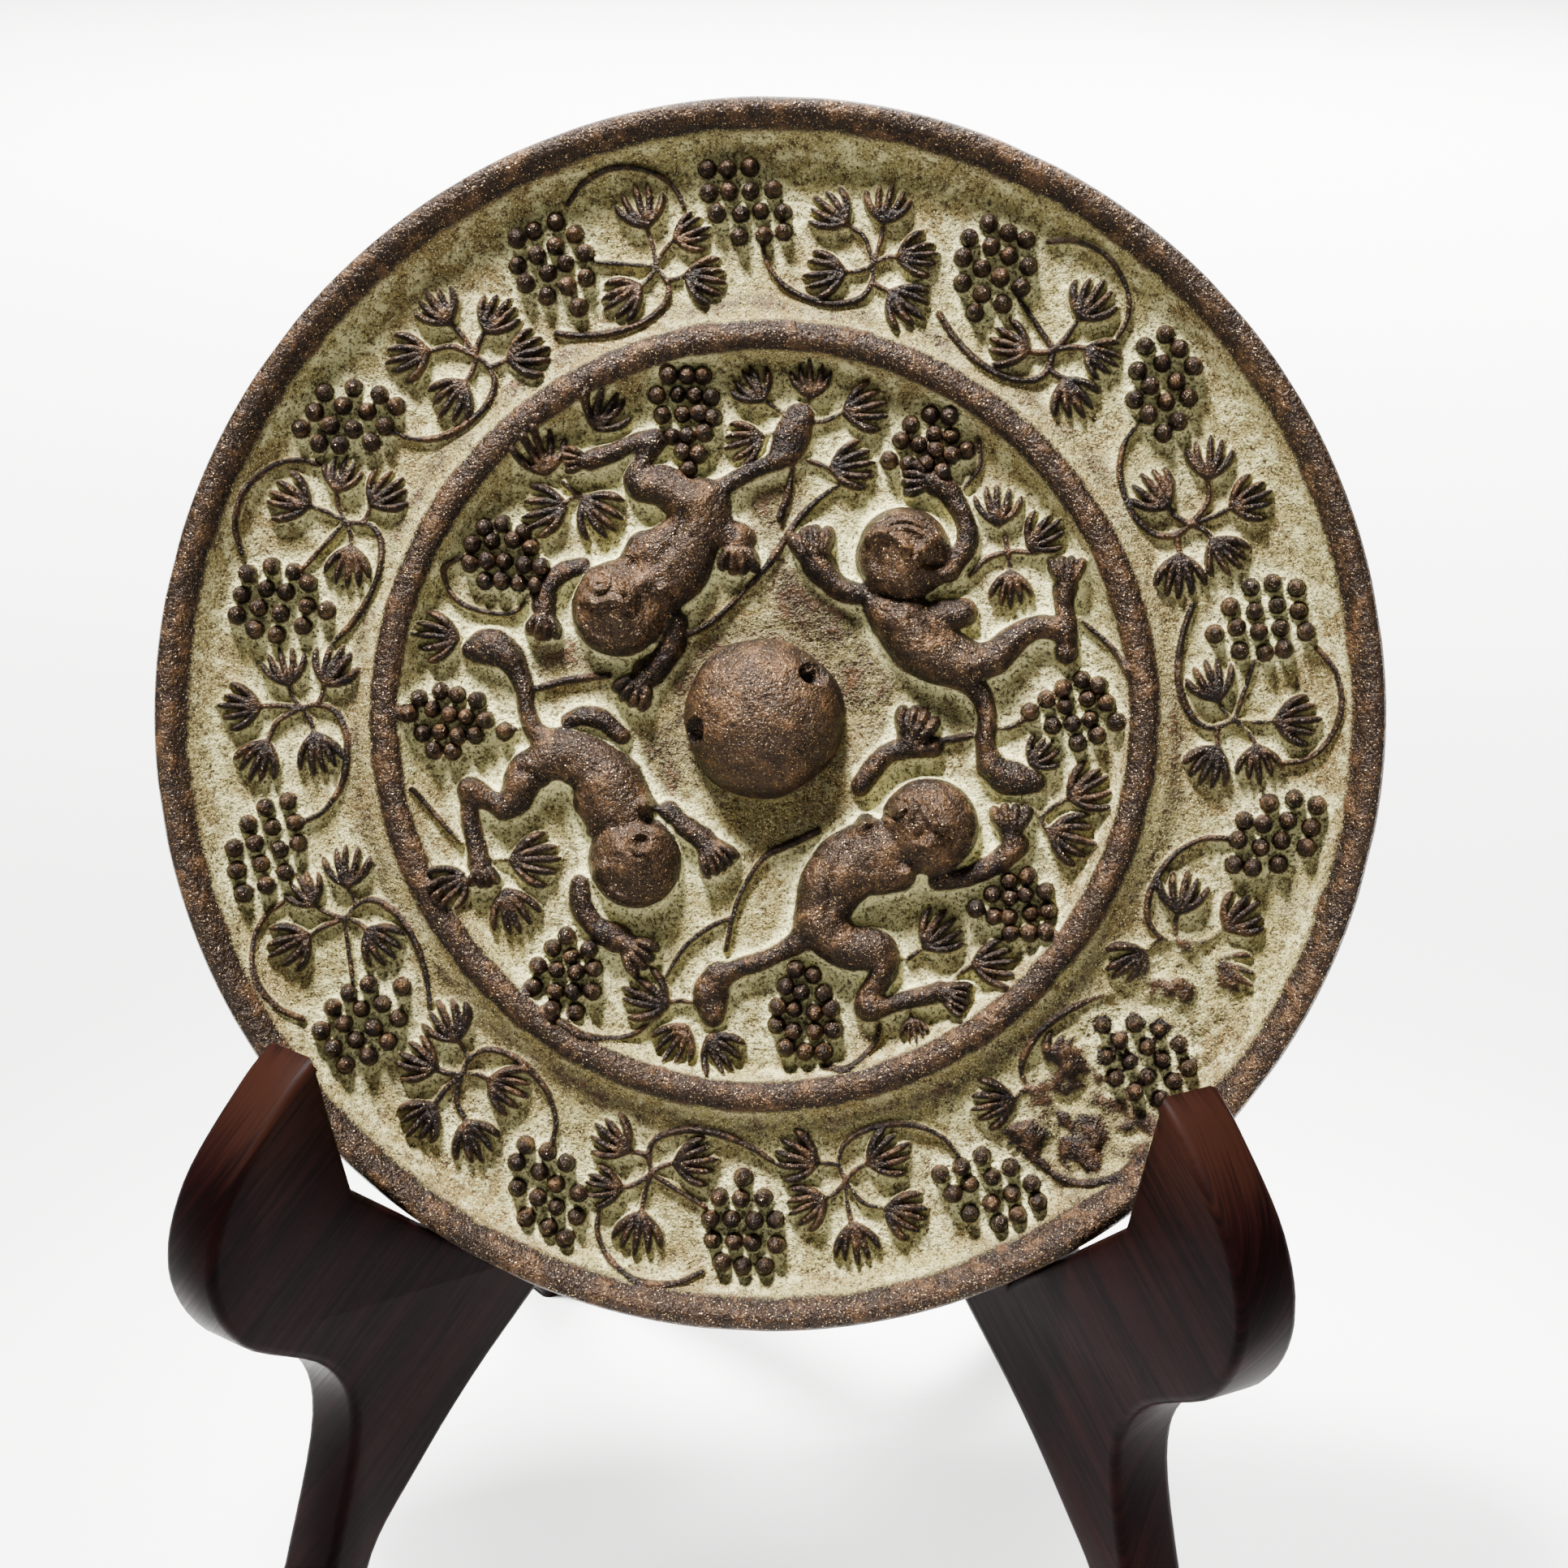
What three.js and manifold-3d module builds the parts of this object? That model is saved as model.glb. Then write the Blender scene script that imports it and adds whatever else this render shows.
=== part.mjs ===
// A cast bronze mirror of the lion and grapevine kind, standing on a wooden cradle of two crossed boards.
// Millimetres, +Z up, origin on the ground under the middle of the whole. The carved side faces -Y.
// The mirror is one casting: rim, ring, pierced knob, four crouching beasts, vines and grapes.
// The cradle is two alike boards, halved into each other crosswise; the mirror only rests in it.
import * as THREE from 'three';
import { mergeVertices } from 'three/addons/utils/BufferGeometryUtils.js';
import Module from 'manifold-3d';

const wasm = await Module();
wasm.setup();

const degrees = THREE.MathUtils.degToRad;

// The mirror's casting. Heights are measured from its flat polished side.
const MIRROR_RADIUS = 60;
const RIM_HEIGHT = 9;
const RIM_WIDTH = 3.6;
const RIM_CREST_WIDTH = 1;
const EDGE_CHAMFER = 0.8;
const OUTER_FIELD = 5;
const RING_RADIUS = 37.2;
const RING_HEIGHT = 7.4;
const RING_WIDTH = 5;
const RING_CREST_WIDTH = 0.8;
const INNER_FIELD = 4.2;
const RING_OFFSET = new THREE.Vector2(-0.25, -0.2);
const KNOB_RADIUS = 7.9;
const KNOB_RISE = 6.6;
const CORD_HOLE_RADIUS = 1.4;
const CORD_HOLE_RISE = 2.6;
const CORD_HOLE_TURN = degrees(33);
const RELIEF_ROOT = 0.5;

// How high the relief stands above its field.
const BERRY_RISE = 2.1;
const BERRY_SHARE = 0.93;
const LEAF_RISE = 1.4;
const LEAF_WIDTH = 4.6;
const PAW_RISE = 1.9;

// The cradle.
const LEAN = degrees(18);
const SPLAY = degrees(37);
const BOARD_THICKNESS = 7;
const SEAT_HALF_SPAN = 32.7;
const SEAT_HEIGHT = 48;
const FIT_GAP = 0.3;
const EDGE_ROUND = 0.7;
const HOOK_RISE = 21.5;
const HOOK_REACH = 15.3;
const NOSE_REACH = 28.6;
const NOSE_DROP = 5;
const NECK_REACH = 11.5;
const NECK_DROP = 19;
const TOE_REACH = 21;
const HEEL_REACH = 10.5;
const TOE_HEIGHT = 2;
const ARCH_RISE = 2.5;
const HALVING_RISE = 15;
const ARCH_HEEL_DROP = 34.8;
const POST_RISE = 62;
const POST_WIDTH = 11;
const SHOULDER_REACH = 32;
const SHOULDER_DROP = 5;
const BACK_TOE = 58.5;
const BACK_HEEL = 48;
const BACK_NECK_OUTSIDE = 48;
const BACK_NECK_INSIDE = 41;

const BRONZE = new THREE.MeshStandardMaterial({ color: 0x6b5140, roughness: 0.55, metalness: 0.75 });
const WOOD = new THREE.MeshStandardMaterial({ color: 0x2a1210, roughness: 0.35, metalness: 0 });

// The layout of the relief, seen from the front: u to the right and v up from the mirror's middle.
// It is drawn for a ring of this radius and a rim of this radius, and follows the real ones.
const LAYOUT_RING = 37.2;
const LAYOUT_RIM = 60;

// Each beast: head [u, v], the way its muzzle points, and limbs as [u, v, half width, rise] stations.
const BEASTS = [
  {
    head: [-14.6, 9.9],
    muzzle: [-0.64, -0.77],
    tuft: [1.7, 27.8, 2.1, 2.9, 92],
    limbs: [
      [[-11.8, 12.8, 3.2, 3.2], [-9.6, 14.8, 3.6, 3.5], [-7.9, 17.4, 3, 3.1], [-7.1, 20.3, 2.9, 3]],
      [[-6.5, 21.1, 1.5, 2.1], [-3.2, 23.5, 0.9, 1.6], [-0.7, 24.5, 0.9, 1.6], [1.1, 26.4, 1.3, 1.7]],
      [[-8.1, 20.4, 2.4, 2.6], [-11.1, 21.6, 2.1, 2.5], [-13.1, 22.5, 1.7, 2.2], [-12.6, 25.9, 1.2, 1.7]],
      [[-11.9, 26.5, 1.2, 1.8], [-14.7, 25.8, 1.2, 1.8], [-18.3, 24.4, 1.3, 1.7]],
      [[-6, 18.9, 1.8, 2.2], [-3.9, 17.4, 1.6, 1.9]],
      [[-18.7, 13.9, 1, 1.6], [-21.4, 12.5, 1.2, 1.6], [-22.6, 10.5, 1.2, 1.6]],
      [[-9.4, 8.4, 1.1, 1.6], [-9.7, 6.1, 1.2, 1.6], [-10.8, 4.1, 1.4, 1.6]],
    ],
    paws: [[-19.4, 24.3, 162, 1.4], [-3.3, 15.8, 272, 1.8], [-22.2, 8.7, 267, 1.6], [-12.2, 2.6, 242, 1.9]],
  },
  {
    head: [-12.1, -14.7],
    muzzle: [0.58, -0.81],
    tuft: [-27.4, 5.7, 2.7, 1.9, 2],
    limbs: [
      [[-13.8, -10.8, 3, 3.1], [-15, -7.9, 3.3, 3.4], [-17.3, -5.5, 2.9, 3.1], [-20.4, -4.5, 2.5, 2.8]],
      [[-21.6, -3.5, 1.4, 2.1], [-23.3, -1.2, 1, 1.7], [-24, 1.4, 0.95, 1.6], [-25.4, 4.6, 1.3, 1.7]],
      [[-21.6, -5.5, 2.3, 2.6], [-23.9, -8, 2.2, 2.5], [-23.8, -10.2, 1.7, 2.2]],
      [[-24.6, -10.3, 1.5, 2], [-27.2, -9.4, 1.3, 1.8], [-28.9, -8.8, 1.3, 1.8]],
      [[-28.9, -9.4, 1.2, 1.8], [-28.6, -11.8, 1.1, 1.7], [-28.1, -14.2, 1.3, 1.7]],
      [[-18.9, -1.2, 0.9, 1.3], [-16.8, -1.2, 1.2, 1.7], [-14.9, -2.4, 1.1, 1.6]],
      [[-8.2, -10.8, 1.1, 1.6], [-6.6, -11.7, 1.4, 1.7]],
      [[-17.8, -17.8, 1.1, 1.6], [-16.8, -20, 1.3, 1.7], [-15, -21.9, 1.5, 1.7]],
    ],
    paws: [[-27.9, -15.2, 272, 1.4], [-5.1, -13.2, 302, 2.2], [-12.6, -23, 312, 2]],
  },
  {
    head: [16.5, -10.3],
    muzzle: [0.86, 0.49],
    tuft: [-4.1, -27.4, 2.1, 3.2, 2],
    limbs: [
      [[11.9, -12.8, 3, 3.2], [8.9, -14.7, 3.5, 3.5], [6.9, -17.4, 3.2, 3.2], [6.4, -20.4, 2.8, 3]],
      [[5.2, -21.4, 1.5, 2.1], [2.7, -23.1, 1, 1.7], [0.3, -24.2, 0.95, 1.6], [-2.2, -25.3, 1.2, 1.7]],
      [[7.2, -21.3, 2.5, 2.6], [9.7, -22.5, 2.4, 2.5], [12.3, -22.6, 1.9, 2.2]],
      [[12.6, -24.1, 1.5, 2], [11.7, -26.5, 1.5, 1.9], [11.2, -28.2, 1.3, 1.8]],
      [[11.9, -28.2, 1.2, 1.8], [14.5, -27.5, 1.2, 1.7], [17.4, -26.7, 1.3, 1.7]],
      [[17.8, -15.7, 1.2, 1.6], [20.6, -15, 1.4, 1.8], [23.7, -13, 1.5, 1.8], [25.4, -11.2, 1.4, 1.7]],
      [[9.8, -6.2, 1, 1.5], [11.3, -4.3, 1.1, 1.6], [12.9, -2.8, 1.4, 1.7]],
    ],
    paws: [[18.4, -26.5, 352, 1.4], [24.4, -9.5, 97, 2], [14.4, -1.1, 72, 2.2]],
  },
  {
    head: [13.2, 16.1],
    muzzle: [-0.24, 0.97],
    tuft: [23.8, -5.2, 3.1, 1.8, 2],
    limbs: [
      [[13.3, 11.4, 2.8, 3.1], [14.2, 8.9, 3.3, 3.5], [16.7, 6.7, 3.1, 3.2], [19.5, 5.7, 2.6, 2.9]],
      [[19.2, 4.4, 1.5, 2.1], [21.3, 2, 1.1, 1.7], [22, -0.4, 1, 1.6], [22, -3.4, 1.3, 1.7]],
      [[20.9, 6.1, 2.2, 2.6], [23.2, 8, 1.9, 2.3], [25.5, 9.3, 1.5, 2], [28.6, 8.8, 1.3, 1.8]],
      [[29.2, 7.6, 1.1, 1.7], [29.3, 10.4, 1, 1.6], [29, 12.9, 1.1, 1.6]],
      [[17, 10.1, 1.8, 2.3], [19.9, 10.2, 1.5, 1.8]],
      [[18.5, 17, 1.3, 1.7], [18.9, 19.6, 1.3, 1.8], [17.6, 21.8, 1.3, 1.7], [16.3, 23.3, 1.3, 1.6]],
      [[8.7, 12.2, 1, 1.5], [6.5, 12.8, 1.2, 1.6], [5.1, 14.1, 1.4, 1.7]],
    ],
    paws: [[28.9, 14.2, 92, 1.9], [15, 23.9, 192, 1.7], [4.1, 15.8, 102, 2.2]],
  },
];

// Bunches inside the ring: [u, v, bearing of the narrow end in degrees, row spacing, berry spacing, rows].
const INNER_BUNCHES = [
  [-9, 29.1, 272, 1.75, 1.65, [3, 4, 4, 3, 2, 1]],
  [-26.5, 14.6, 287, 1.7, 1.8, [2, 3, 4, 4, 2]],
  [-30.5, -2, 356, 1.8, 2, [2, 3, 3, 3, 2, 1]],
  [-18.4, -26, 92, 1.75, 2, [2, 4, 4, 2, 1]],
  [5.2, -29.6, 100, 2.1, 2, [2, 4, 3, 2, 1]],
  [25.6, -17.9, 182, 1.8, 2, [3, 4, 3, 2, 1]],
  [30.9, 1.8, 178, 1.8, 2, [3, 4, 3, 2, 1]],
  [15.3, 27.4, 217, 1.8, 2, [3, 4, 3, 2, 1]],
];

// Leaves inside the ring: [base u, base v, tip u, tip v].
const INNER_LEAVES = [
  [-17.9, 27.3, -15.7, 31.2], [-22.5, 22.7, -23.7, 27.4], [-20.3, 19.7, -25.1, 18.5],
  [-18.9, 20.5, -15.1, 17.3], [-30.5, 6.4, -35.2, 6.5], [-24.6, -15.3, -19.2, -15.1],
  [-28.8, -16.9, -32.1, -19.3], [-25, -18.2, -23, -22.7], [-8.4, -28.9, -13.1, -27.1],
  [-6.5, -30.8, -8.8, -34.5], [-4.4, -31.7, -1.4, -35], [16.4, -22.2, 19.7, -18.9], [21.2, -23.7, 25.8, -23.2],
  [15.5, -29, 16.2, -31.6], [29.9, -7.1, 34.1, -4.7], [28.1, -10.3, 32.9, -11.5], [26, -4, 28.5, -1.4],
  [22, 19.2, 21.8, 23.6], [25, 17.3, 28.2, 20.1], [23.4, 14.9, 23.6, 11], [3.3, 31, 3.1, 35],
  [-1.4, 30.6, -3.9, 33.8], [6.5, 29.7, 11.1, 31], [-1.2, 27.2, -5.2, 25.7], [5.4, 24.2, 10.1, 25],
];

// Outside the ring the vine repeats seven times. Bearings run clockwise from the top, in degrees.
// Each repeat has a slanting bunch with five leaves round one node, and an upright bunch with four round the next.
const FIRST_NODES = [11.2, 63.8, 116.6, 167.8, 217.9, 268.5, 318.7];
const SECOND_NODES = [36.3, 88.6, 141.4, 191.6, 241.9, 292.3, 344];
const NODE_RADIUS = 45.8;
const FIRST_VINE = {
  bunch: { at: [-15.4, 5], shear: 1, rowSpacing: 2.15, spacing: 2.15, rows: [3, 4, 4, 3] },
  leaves: [[-3.8, 3.3, -8.2, 5.6], [0.1, 4, 0.1, 8.2], [2.7, 1.2, 7.4, 2.8], [3, -2.2, 8.6, -3.6], [-3, -1.3, -8.8, -2.1]],
};
const SECOND_VINE = {
  bunch: { at: [-11.6, 3.3], shear: 0.15, rowSpacing: 2.15, spacing: 2.1, rows: [3, 4, 4, 3, 1] },
  leaves: [[0, 3.8, -0.3, 8.2], [2.8, 2, 7.3, 2.9], [3.3, -1.5, 8.8, -3], [-2.5, -1.5, -8, -2.6]],
};

// A closed geometry as a solid that can be joined and cut.
function solidOf(geometry) {
  const bare = geometry.clone();
  bare.deleteAttribute('normal');
  bare.deleteAttribute('uv');
  const merged = mergeVertices(bare, 1e-5);
  return new wasm.Manifold(new wasm.Mesh({
    numProp: 3,
    vertProperties: new Float32Array(merged.attributes.position.array),
    triVerts: new Uint32Array(merged.index.array),
  }));
}

function geometryOf(solid) {
  const mesh = solid.getMesh();
  const geometry = new THREE.BufferGeometry();
  geometry.setAttribute('position', new THREE.BufferAttribute(new Float32Array(mesh.vertProperties), mesh.numProp));
  geometry.setIndex(new THREE.BufferAttribute(new Uint32Array(mesh.triVerts), 1));
  geometry.computeVertexNormals();
  return geometry;
}

// Joins many solids two by two, which keeps each step small.
function joined(solids) {
  let level = solids;
  while (level.length > 1) {
    const next = [];
    for (let i = 0; i < level.length; i += 2) {
      next.push(i + 1 < level.length ? level[i].add(level[i + 1]) : level[i]);
    }
    level = next;
  }
  return level[0];
}

// The casting's profile from the axis of the polished side round to the axis of the carved side.
function castingProfile() {
  const rimInside = MIRROR_RADIUS - RIM_WIDTH;
  const ringInside = RING_RADIUS - RING_WIDTH / 2;
  const ringOutside = RING_RADIUS + RING_WIDTH / 2;
  return [
    [0, 0],
    [MIRROR_RADIUS - EDGE_CHAMFER, 0],
    [MIRROR_RADIUS, EDGE_CHAMFER],
    [MIRROR_RADIUS, RIM_HEIGHT - EDGE_CHAMFER],
    [MIRROR_RADIUS - EDGE_CHAMFER, RIM_HEIGHT],
    [MIRROR_RADIUS - EDGE_CHAMFER - RIM_CREST_WIDTH, RIM_HEIGHT],
    [rimInside, OUTER_FIELD],
    [ringOutside, OUTER_FIELD],
    [RING_RADIUS + RING_CREST_WIDTH, RING_HEIGHT],
    [RING_RADIUS - RING_CREST_WIDTH, RING_HEIGHT],
    [ringInside, INNER_FIELD],
    [0, INNER_FIELD],
  ].map(([r, z]) => new THREE.Vector2(r, z));
}

// Turned casting, with its ring and everything inside it set a little off centre, as it was cast.
function casting() {
  const geometry = new THREE.LatheGeometry(castingProfile(), 56);
  geometry.rotateX(Math.PI / 2);
  const inside = RING_RADIUS + RING_WIDTH;
  const outside = MIRROR_RADIUS - RIM_WIDTH;
  const position = geometry.attributes.position;
  for (let i = 0; i < position.count; i++) {
    const r = Math.hypot(position.getX(i), position.getY(i));
    const share = position.getZ(i) > EDGE_CHAMFER / 2 ? 1 - THREE.MathUtils.smoothstep(r, inside, outside) : 0;
    position.setX(i, position.getX(i) + RING_OFFSET.x * share);
    position.setY(i, position.getY(i) + RING_OFFSET.y * share);
  }
  return solidOf(geometry);
}

// A low dome on an oval foot, its underside flat a little way down in its field.
function dome(u, v, field, halfLength, halfWidth, rise, turn, around = 8, up = 5) {
  const geometry = new THREE.SphereGeometry(1, around, up);
  geometry.rotateX(Math.PI / 2);
  geometry.scale(halfLength, halfWidth, rise);
  const places = geometry.attributes.position;
  for (let i = 0; i < places.count; i++) {
    places.setZ(i, Math.max(places.getZ(i), -2 * RELIEF_ROOT));
  }
  geometry.rotateZ(turn);
  geometry.translate(u, v, field);
  return solidOf(geometry);
}

// A closed low form: an outline at the field's height, one raised point over it and one root under it.
function tent(outline, top, rise, field) {
  const points = outline.map(([x, y]) => [x, y, field - RELIEF_ROOT / 5]);
  points.push([...top, field + rise], [...top, field - 2 * RELIEF_ROOT]);
  const faces = [];
  for (let i = 0; i < outline.length; i++) {
    const next = (i + 1) % outline.length;
    faces.push(i, next, outline.length, next, i, outline.length + 1);
  }
  const geometry = new THREE.BufferGeometry();
  geometry.setAttribute('position', new THREE.Float32BufferAttribute(points.flat(), 3));
  geometry.setIndex(faces);
  return geometry;
}

// A rounded limb through stations of [u, v, half width, rise], closed with a point at each end.
function limb(stations, field) {
  const sides = 6;
  const path = stations.map(([u, v]) => new THREE.Vector2(u, v));
  const points = [];
  stations.forEach(([u, v, halfWidth, rise], i) => {
    const before = path[Math.max(i - 1, 0)];
    const after = path[Math.min(i + 1, path.length - 1)];
    const along = after.clone().sub(before).normalize();
    for (let j = 0; j < sides; j++) {
      const turn = ((j + 0.5) / sides) * 2 * Math.PI;
      const across = (Math.cos(turn) * halfWidth) / Math.cos(Math.PI / sides);
      const height = Math.sin(turn) * (turn < Math.PI ? rise : 2 * RELIEF_ROOT);
      points.push([u - along.y * across, v + along.x * across, field + height]);
    }
  });
  const cap = (end, beside) => {
    const [u, v, halfWidth] = stations[end];
    const way = path[end].clone().sub(path[beside]).normalize();
    points.push([u + way.x * halfWidth, v + way.y * halfWidth, field - RELIEF_ROOT / 4]);
    return points.length - 1;
  };
  const rings = stations.length - 1;
  const first = cap(0, 1);
  const last = cap(rings, rings - 1);
  const faces = [];
  for (let j = 0; j < sides; j++) {
    const k = (j + 1) % sides;
    faces.push(first, k, j);
    faces.push(last, rings * sides + j, rings * sides + k);
    for (let i = 0; i < rings; i++) {
      const a = i * sides + j;
      const b = i * sides + k;
      faces.push(a, b, a + sides, b, b + sides, a + sides);
    }
  }
  const geometry = new THREE.BufferGeometry();
  geometry.setAttribute('position', new THREE.Float32BufferAttribute(points.flat(), 3));
  geometry.setIndex(faces);
  return solidOf(geometry);
}

// A fan of three fingers from its base to its tip. Leaves and paws are both such fans.
function fan(u0, v0, u1, v1, width, rise, field) {
  const length = Math.hypot(u1 - u0, v1 - v0);
  const outline = [[-0.08 * length, 0]];
  for (let i = 0; i < 5; i++) {
    const angle = degrees(-72 + 36 * i);
    const share = i % 2 ? 0.8 : 1;
    outline.push([Math.cos(angle) * length * share, (Math.sin(angle) * width * share) / 1.8]);
  }
  const geometry = tent(outline, [0.45 * length, 0], rise, field);
  geometry.rotateZ(Math.atan2(v1 - v0, u1 - u0));
  geometry.translate(u0, v0, 0);
  return solidOf(geometry);
}

// One berry of a bunch, as a four-sided point.
function berry(u, v, radius, turn, field) {
  const outline = [0, 1, 2, 3].map((i) => {
    const angle = turn + (i * Math.PI) / 2;
    return [u + Math.cos(angle) * radius, v + Math.sin(angle) * radius];
  });
  return solidOf(tent(outline, [u, v], BERRY_RISE, field));
}

// A bunch of grapes in rows from its wide end to its narrow end, which lies along the bearing.
function bunch(u, v, turn, rowSpacing, spacing, rows, shear, field) {
  const middle = (rows.length - 1) / 2;
  const radius = (BERRY_SHARE * Math.min(rowSpacing, spacing)) / Math.SQRT2;
  return rows.flatMap((count, row) => Array.from({ length: count }, (_, i) => {
    const along = (row - middle) * rowSpacing;
    const across = (i - (count - 1) / 2) * spacing + shear * (row - middle);
    const x = u + Math.cos(turn) * along - Math.sin(turn) * across;
    const y = v + Math.sin(turn) * along + Math.cos(turn) * across;
    return berry(x, y, radius, turn + Math.PI / 4, field);
  }));
}

// A lion's mask seen from above: skull, two ears by the neck, brows and muzzle.
function head(u, v, muzzle, field) {
  const [fx, fy] = muzzle;
  const turn = Math.atan2(fy, fx);
  const at = (forward, side) => [u + fx * forward - fy * side, v + fy * forward + fx * side];
  const pieces = [dome(u, v, field, 5, 4.8, 4.6, turn, 10, 6)];
  for (const side of [-1, 1]) {
    pieces.push(dome(...at(-4, side * 3.3), field, 1.6, 1.5, 3.2, turn, 5, 3));
    pieces.push(dome(...at(-1.2, side * 2.2), field + 3.4, 1, 0.9, 1.3, turn, 4, 3));
  }
  pieces.push(dome(...at(2.3, 0), field + 3, 2.1, 1.5, 1.9, turn, 5, 3));
  return pieces;
}

// A paw: a pad with three toes that spread along its bearing.
function paw(u, v, bearing, size, field) {
  const along = [Math.cos(degrees(bearing)), Math.sin(degrees(bearing))];
  const heel = [u - along[0] * size, v - along[1] * size];
  const toe = [u + along[0] * size * 1.3, v + along[1] * size * 1.3];
  return fan(...heel, ...toe, size * 2.1, PAW_RISE, field);
}

// Everything that stands on the field inside the ring.
function innerRelief() {
  const share = RING_RADIUS / LAYOUT_RING;
  const field = INNER_FIELD;
  const pieces = [];
  for (const beast of BEASTS) {
    pieces.push(...head(beast.head[0] * share, beast.head[1] * share, beast.muzzle, field));
    for (const stations of beast.limbs) {
      pieces.push(limb(stations.map(([u, v, width, rise]) => [u * share, v * share, width, rise]), field));
    }
    for (const [u, v, bearing, size] of beast.paws) {
      pieces.push(paw(u * share, v * share, bearing, size, field));
    }
    const [u, v, length, width, turn] = beast.tuft;
    pieces.push(dome(u * share, v * share, field, length, width, 1.9, degrees(turn), 6, 4));
  }
  for (const [u, v, bearing, rowSpacing, spacing, rows] of INNER_BUNCHES) {
    pieces.push(...bunch(u * share, v * share, degrees(bearing), rowSpacing, spacing, rows, 0, field));
  }
  for (const [u0, v0, u1, v1] of INNER_LEAVES) {
    pieces.push(fan(u0 * share, v0 * share, u1 * share, v1 * share, LEAF_WIDTH, LEAF_RISE, field));
  }
  return pieces;
}

// Everything that stands on the field between the ring and the rim.
function outerRelief() {
  const field = OUTER_FIELD;
  const share = (MIRROR_RADIUS - RING_RADIUS) / (LAYOUT_RIM - LAYOUT_RING);
  const nodeRadius = RING_RADIUS + (NODE_RADIUS - LAYOUT_RING) * share;
  const place = (bearing, rise) => {
    const angle = degrees(bearing);
    return [Math.sin(angle) * (nodeRadius + rise * share), Math.cos(angle) * (nodeRadius + rise * share)];
  };
  const vine = (node, design) => {
    const { at, shear, rowSpacing, spacing, rows } = design.bunch;
    const bearing = node + at[0];
    const inward = -Math.PI / 2 - degrees(bearing);
    const pieces = bunch(...place(bearing, at[1]), inward, rowSpacing, spacing, rows, shear, field);
    for (const [a0, r0, a1, r1] of design.leaves) {
      pieces.push(fan(...place(node + a0, r0), ...place(node + a1, r1), LEAF_WIDTH, LEAF_RISE, field));
    }
    return pieces;
  };
  return [
    ...FIRST_NODES.flatMap((node) => vine(node, FIRST_VINE)),
    ...SECOND_NODES.flatMap((node) => vine(node, SECOND_VINE)),
  ];
}

// The pierced boss in the middle, for the cord by which the mirror was held.
function knob() {
  const middle = [RING_OFFSET.x, RING_OFFSET.y];
  const boss = dome(...middle, INNER_FIELD, KNOB_RADIUS, KNOB_RADIUS, KNOB_RISE, 0, 14, 8);
  const below = new THREE.BoxGeometry(4 * KNOB_RADIUS, 4 * KNOB_RADIUS, 2 * KNOB_RISE);
  below.translate(0, 0, INNER_FIELD - RELIEF_ROOT - KNOB_RISE);
  const hole = new THREE.CylinderGeometry(CORD_HOLE_RADIUS, CORD_HOLE_RADIUS, 3 * KNOB_RADIUS, 8);
  hole.rotateZ(CORD_HOLE_TURN - Math.PI / 2);
  hole.translate(...middle, INNER_FIELD + CORD_HOLE_RISE);
  return { boss: boss.subtract(solidOf(below)), hole: solidOf(hole) };
}

function mirrorGeometry() {
  const { boss, hole } = knob();
  const body = casting().add(boss).subtract(hole);
  return geometryOf(body.add(joined([...innerRelief(), ...outerRelief()])));
}

// Where the mirror's middle stands when its rim sits over the cradle's two seats.
const seatDrop = Math.sqrt(MIRROR_RADIUS ** 2 - SEAT_HALF_SPAN ** 2);
const seatPlace = -SEAT_HALF_SPAN / Math.sin(SPLAY);
const mirrorUp = new THREE.Vector3(0, Math.sin(LEAN), Math.cos(LEAN));
const mirrorOut = new THREE.Vector3(0, -Math.cos(LEAN), Math.sin(LEAN));
const mirrorBack = new THREE.Vector3(0, seatPlace * Math.cos(SPLAY), SEAT_HEIGHT)
  .addScaledVector(mirrorUp, seatDrop)
  .addScaledVector(mirrorOut, -RIM_HEIGHT / 2);

// The mirror's plain outer form, larger by the fit gap, which the boards are cut clear of.
function mirrorClearance() {
  const geometry = new THREE.CylinderGeometry(
    MIRROR_RADIUS + FIT_GAP, MIRROR_RADIUS + FIT_GAP, RIM_HEIGHT + 2 * FIT_GAP, 180);
  geometry.rotateX(Math.PI / 2);
  geometry.translate(0, 0, RIM_HEIGHT / 2);
  geometry.rotateX(Math.PI / 2 - LEAN);
  geometry.translate(mirrorBack.x, mirrorBack.y, mirrorBack.z);
  return solidOf(geometry);
}

// Distance along a board, from the crossing, of the mirror's back or front plane at height z.
// Side is -1 or 1 for the board face that lies nearest to the planes' rear or front.
function planeOnBoard(z, outward, side) {
  const depth = (z - mirrorBack.z) * Math.sin(LEAN) - outward;
  const along = (depth / Math.cos(LEAN) + mirrorBack.y) / Math.cos(SPLAY);
  return along + side * (BOARD_THICKNESS / 2) * Math.tan(SPLAY);
}

// The seat's slope follows the rim where it crosses the board.
const seatSlope = (SEAT_HALF_SPAN / seatDrop) * Math.sin(SPLAY) / Math.cos(LEAN)
  + Math.cos(SPLAY) * Math.tan(LEAN);
const rimAcross = Math.abs((SEAT_HALF_SPAN / seatDrop) * Math.cos(SPLAY) / Math.cos(LEAN)
  - Math.sin(SPLAY) * Math.tan(LEAN));
const seatFloor = (s) => SEAT_HEIGHT - seatSlope * (s - seatPlace)
  - rimAcross * (BOARD_THICKNESS / 2) - FIT_GAP / Math.cos(LEAN);

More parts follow.
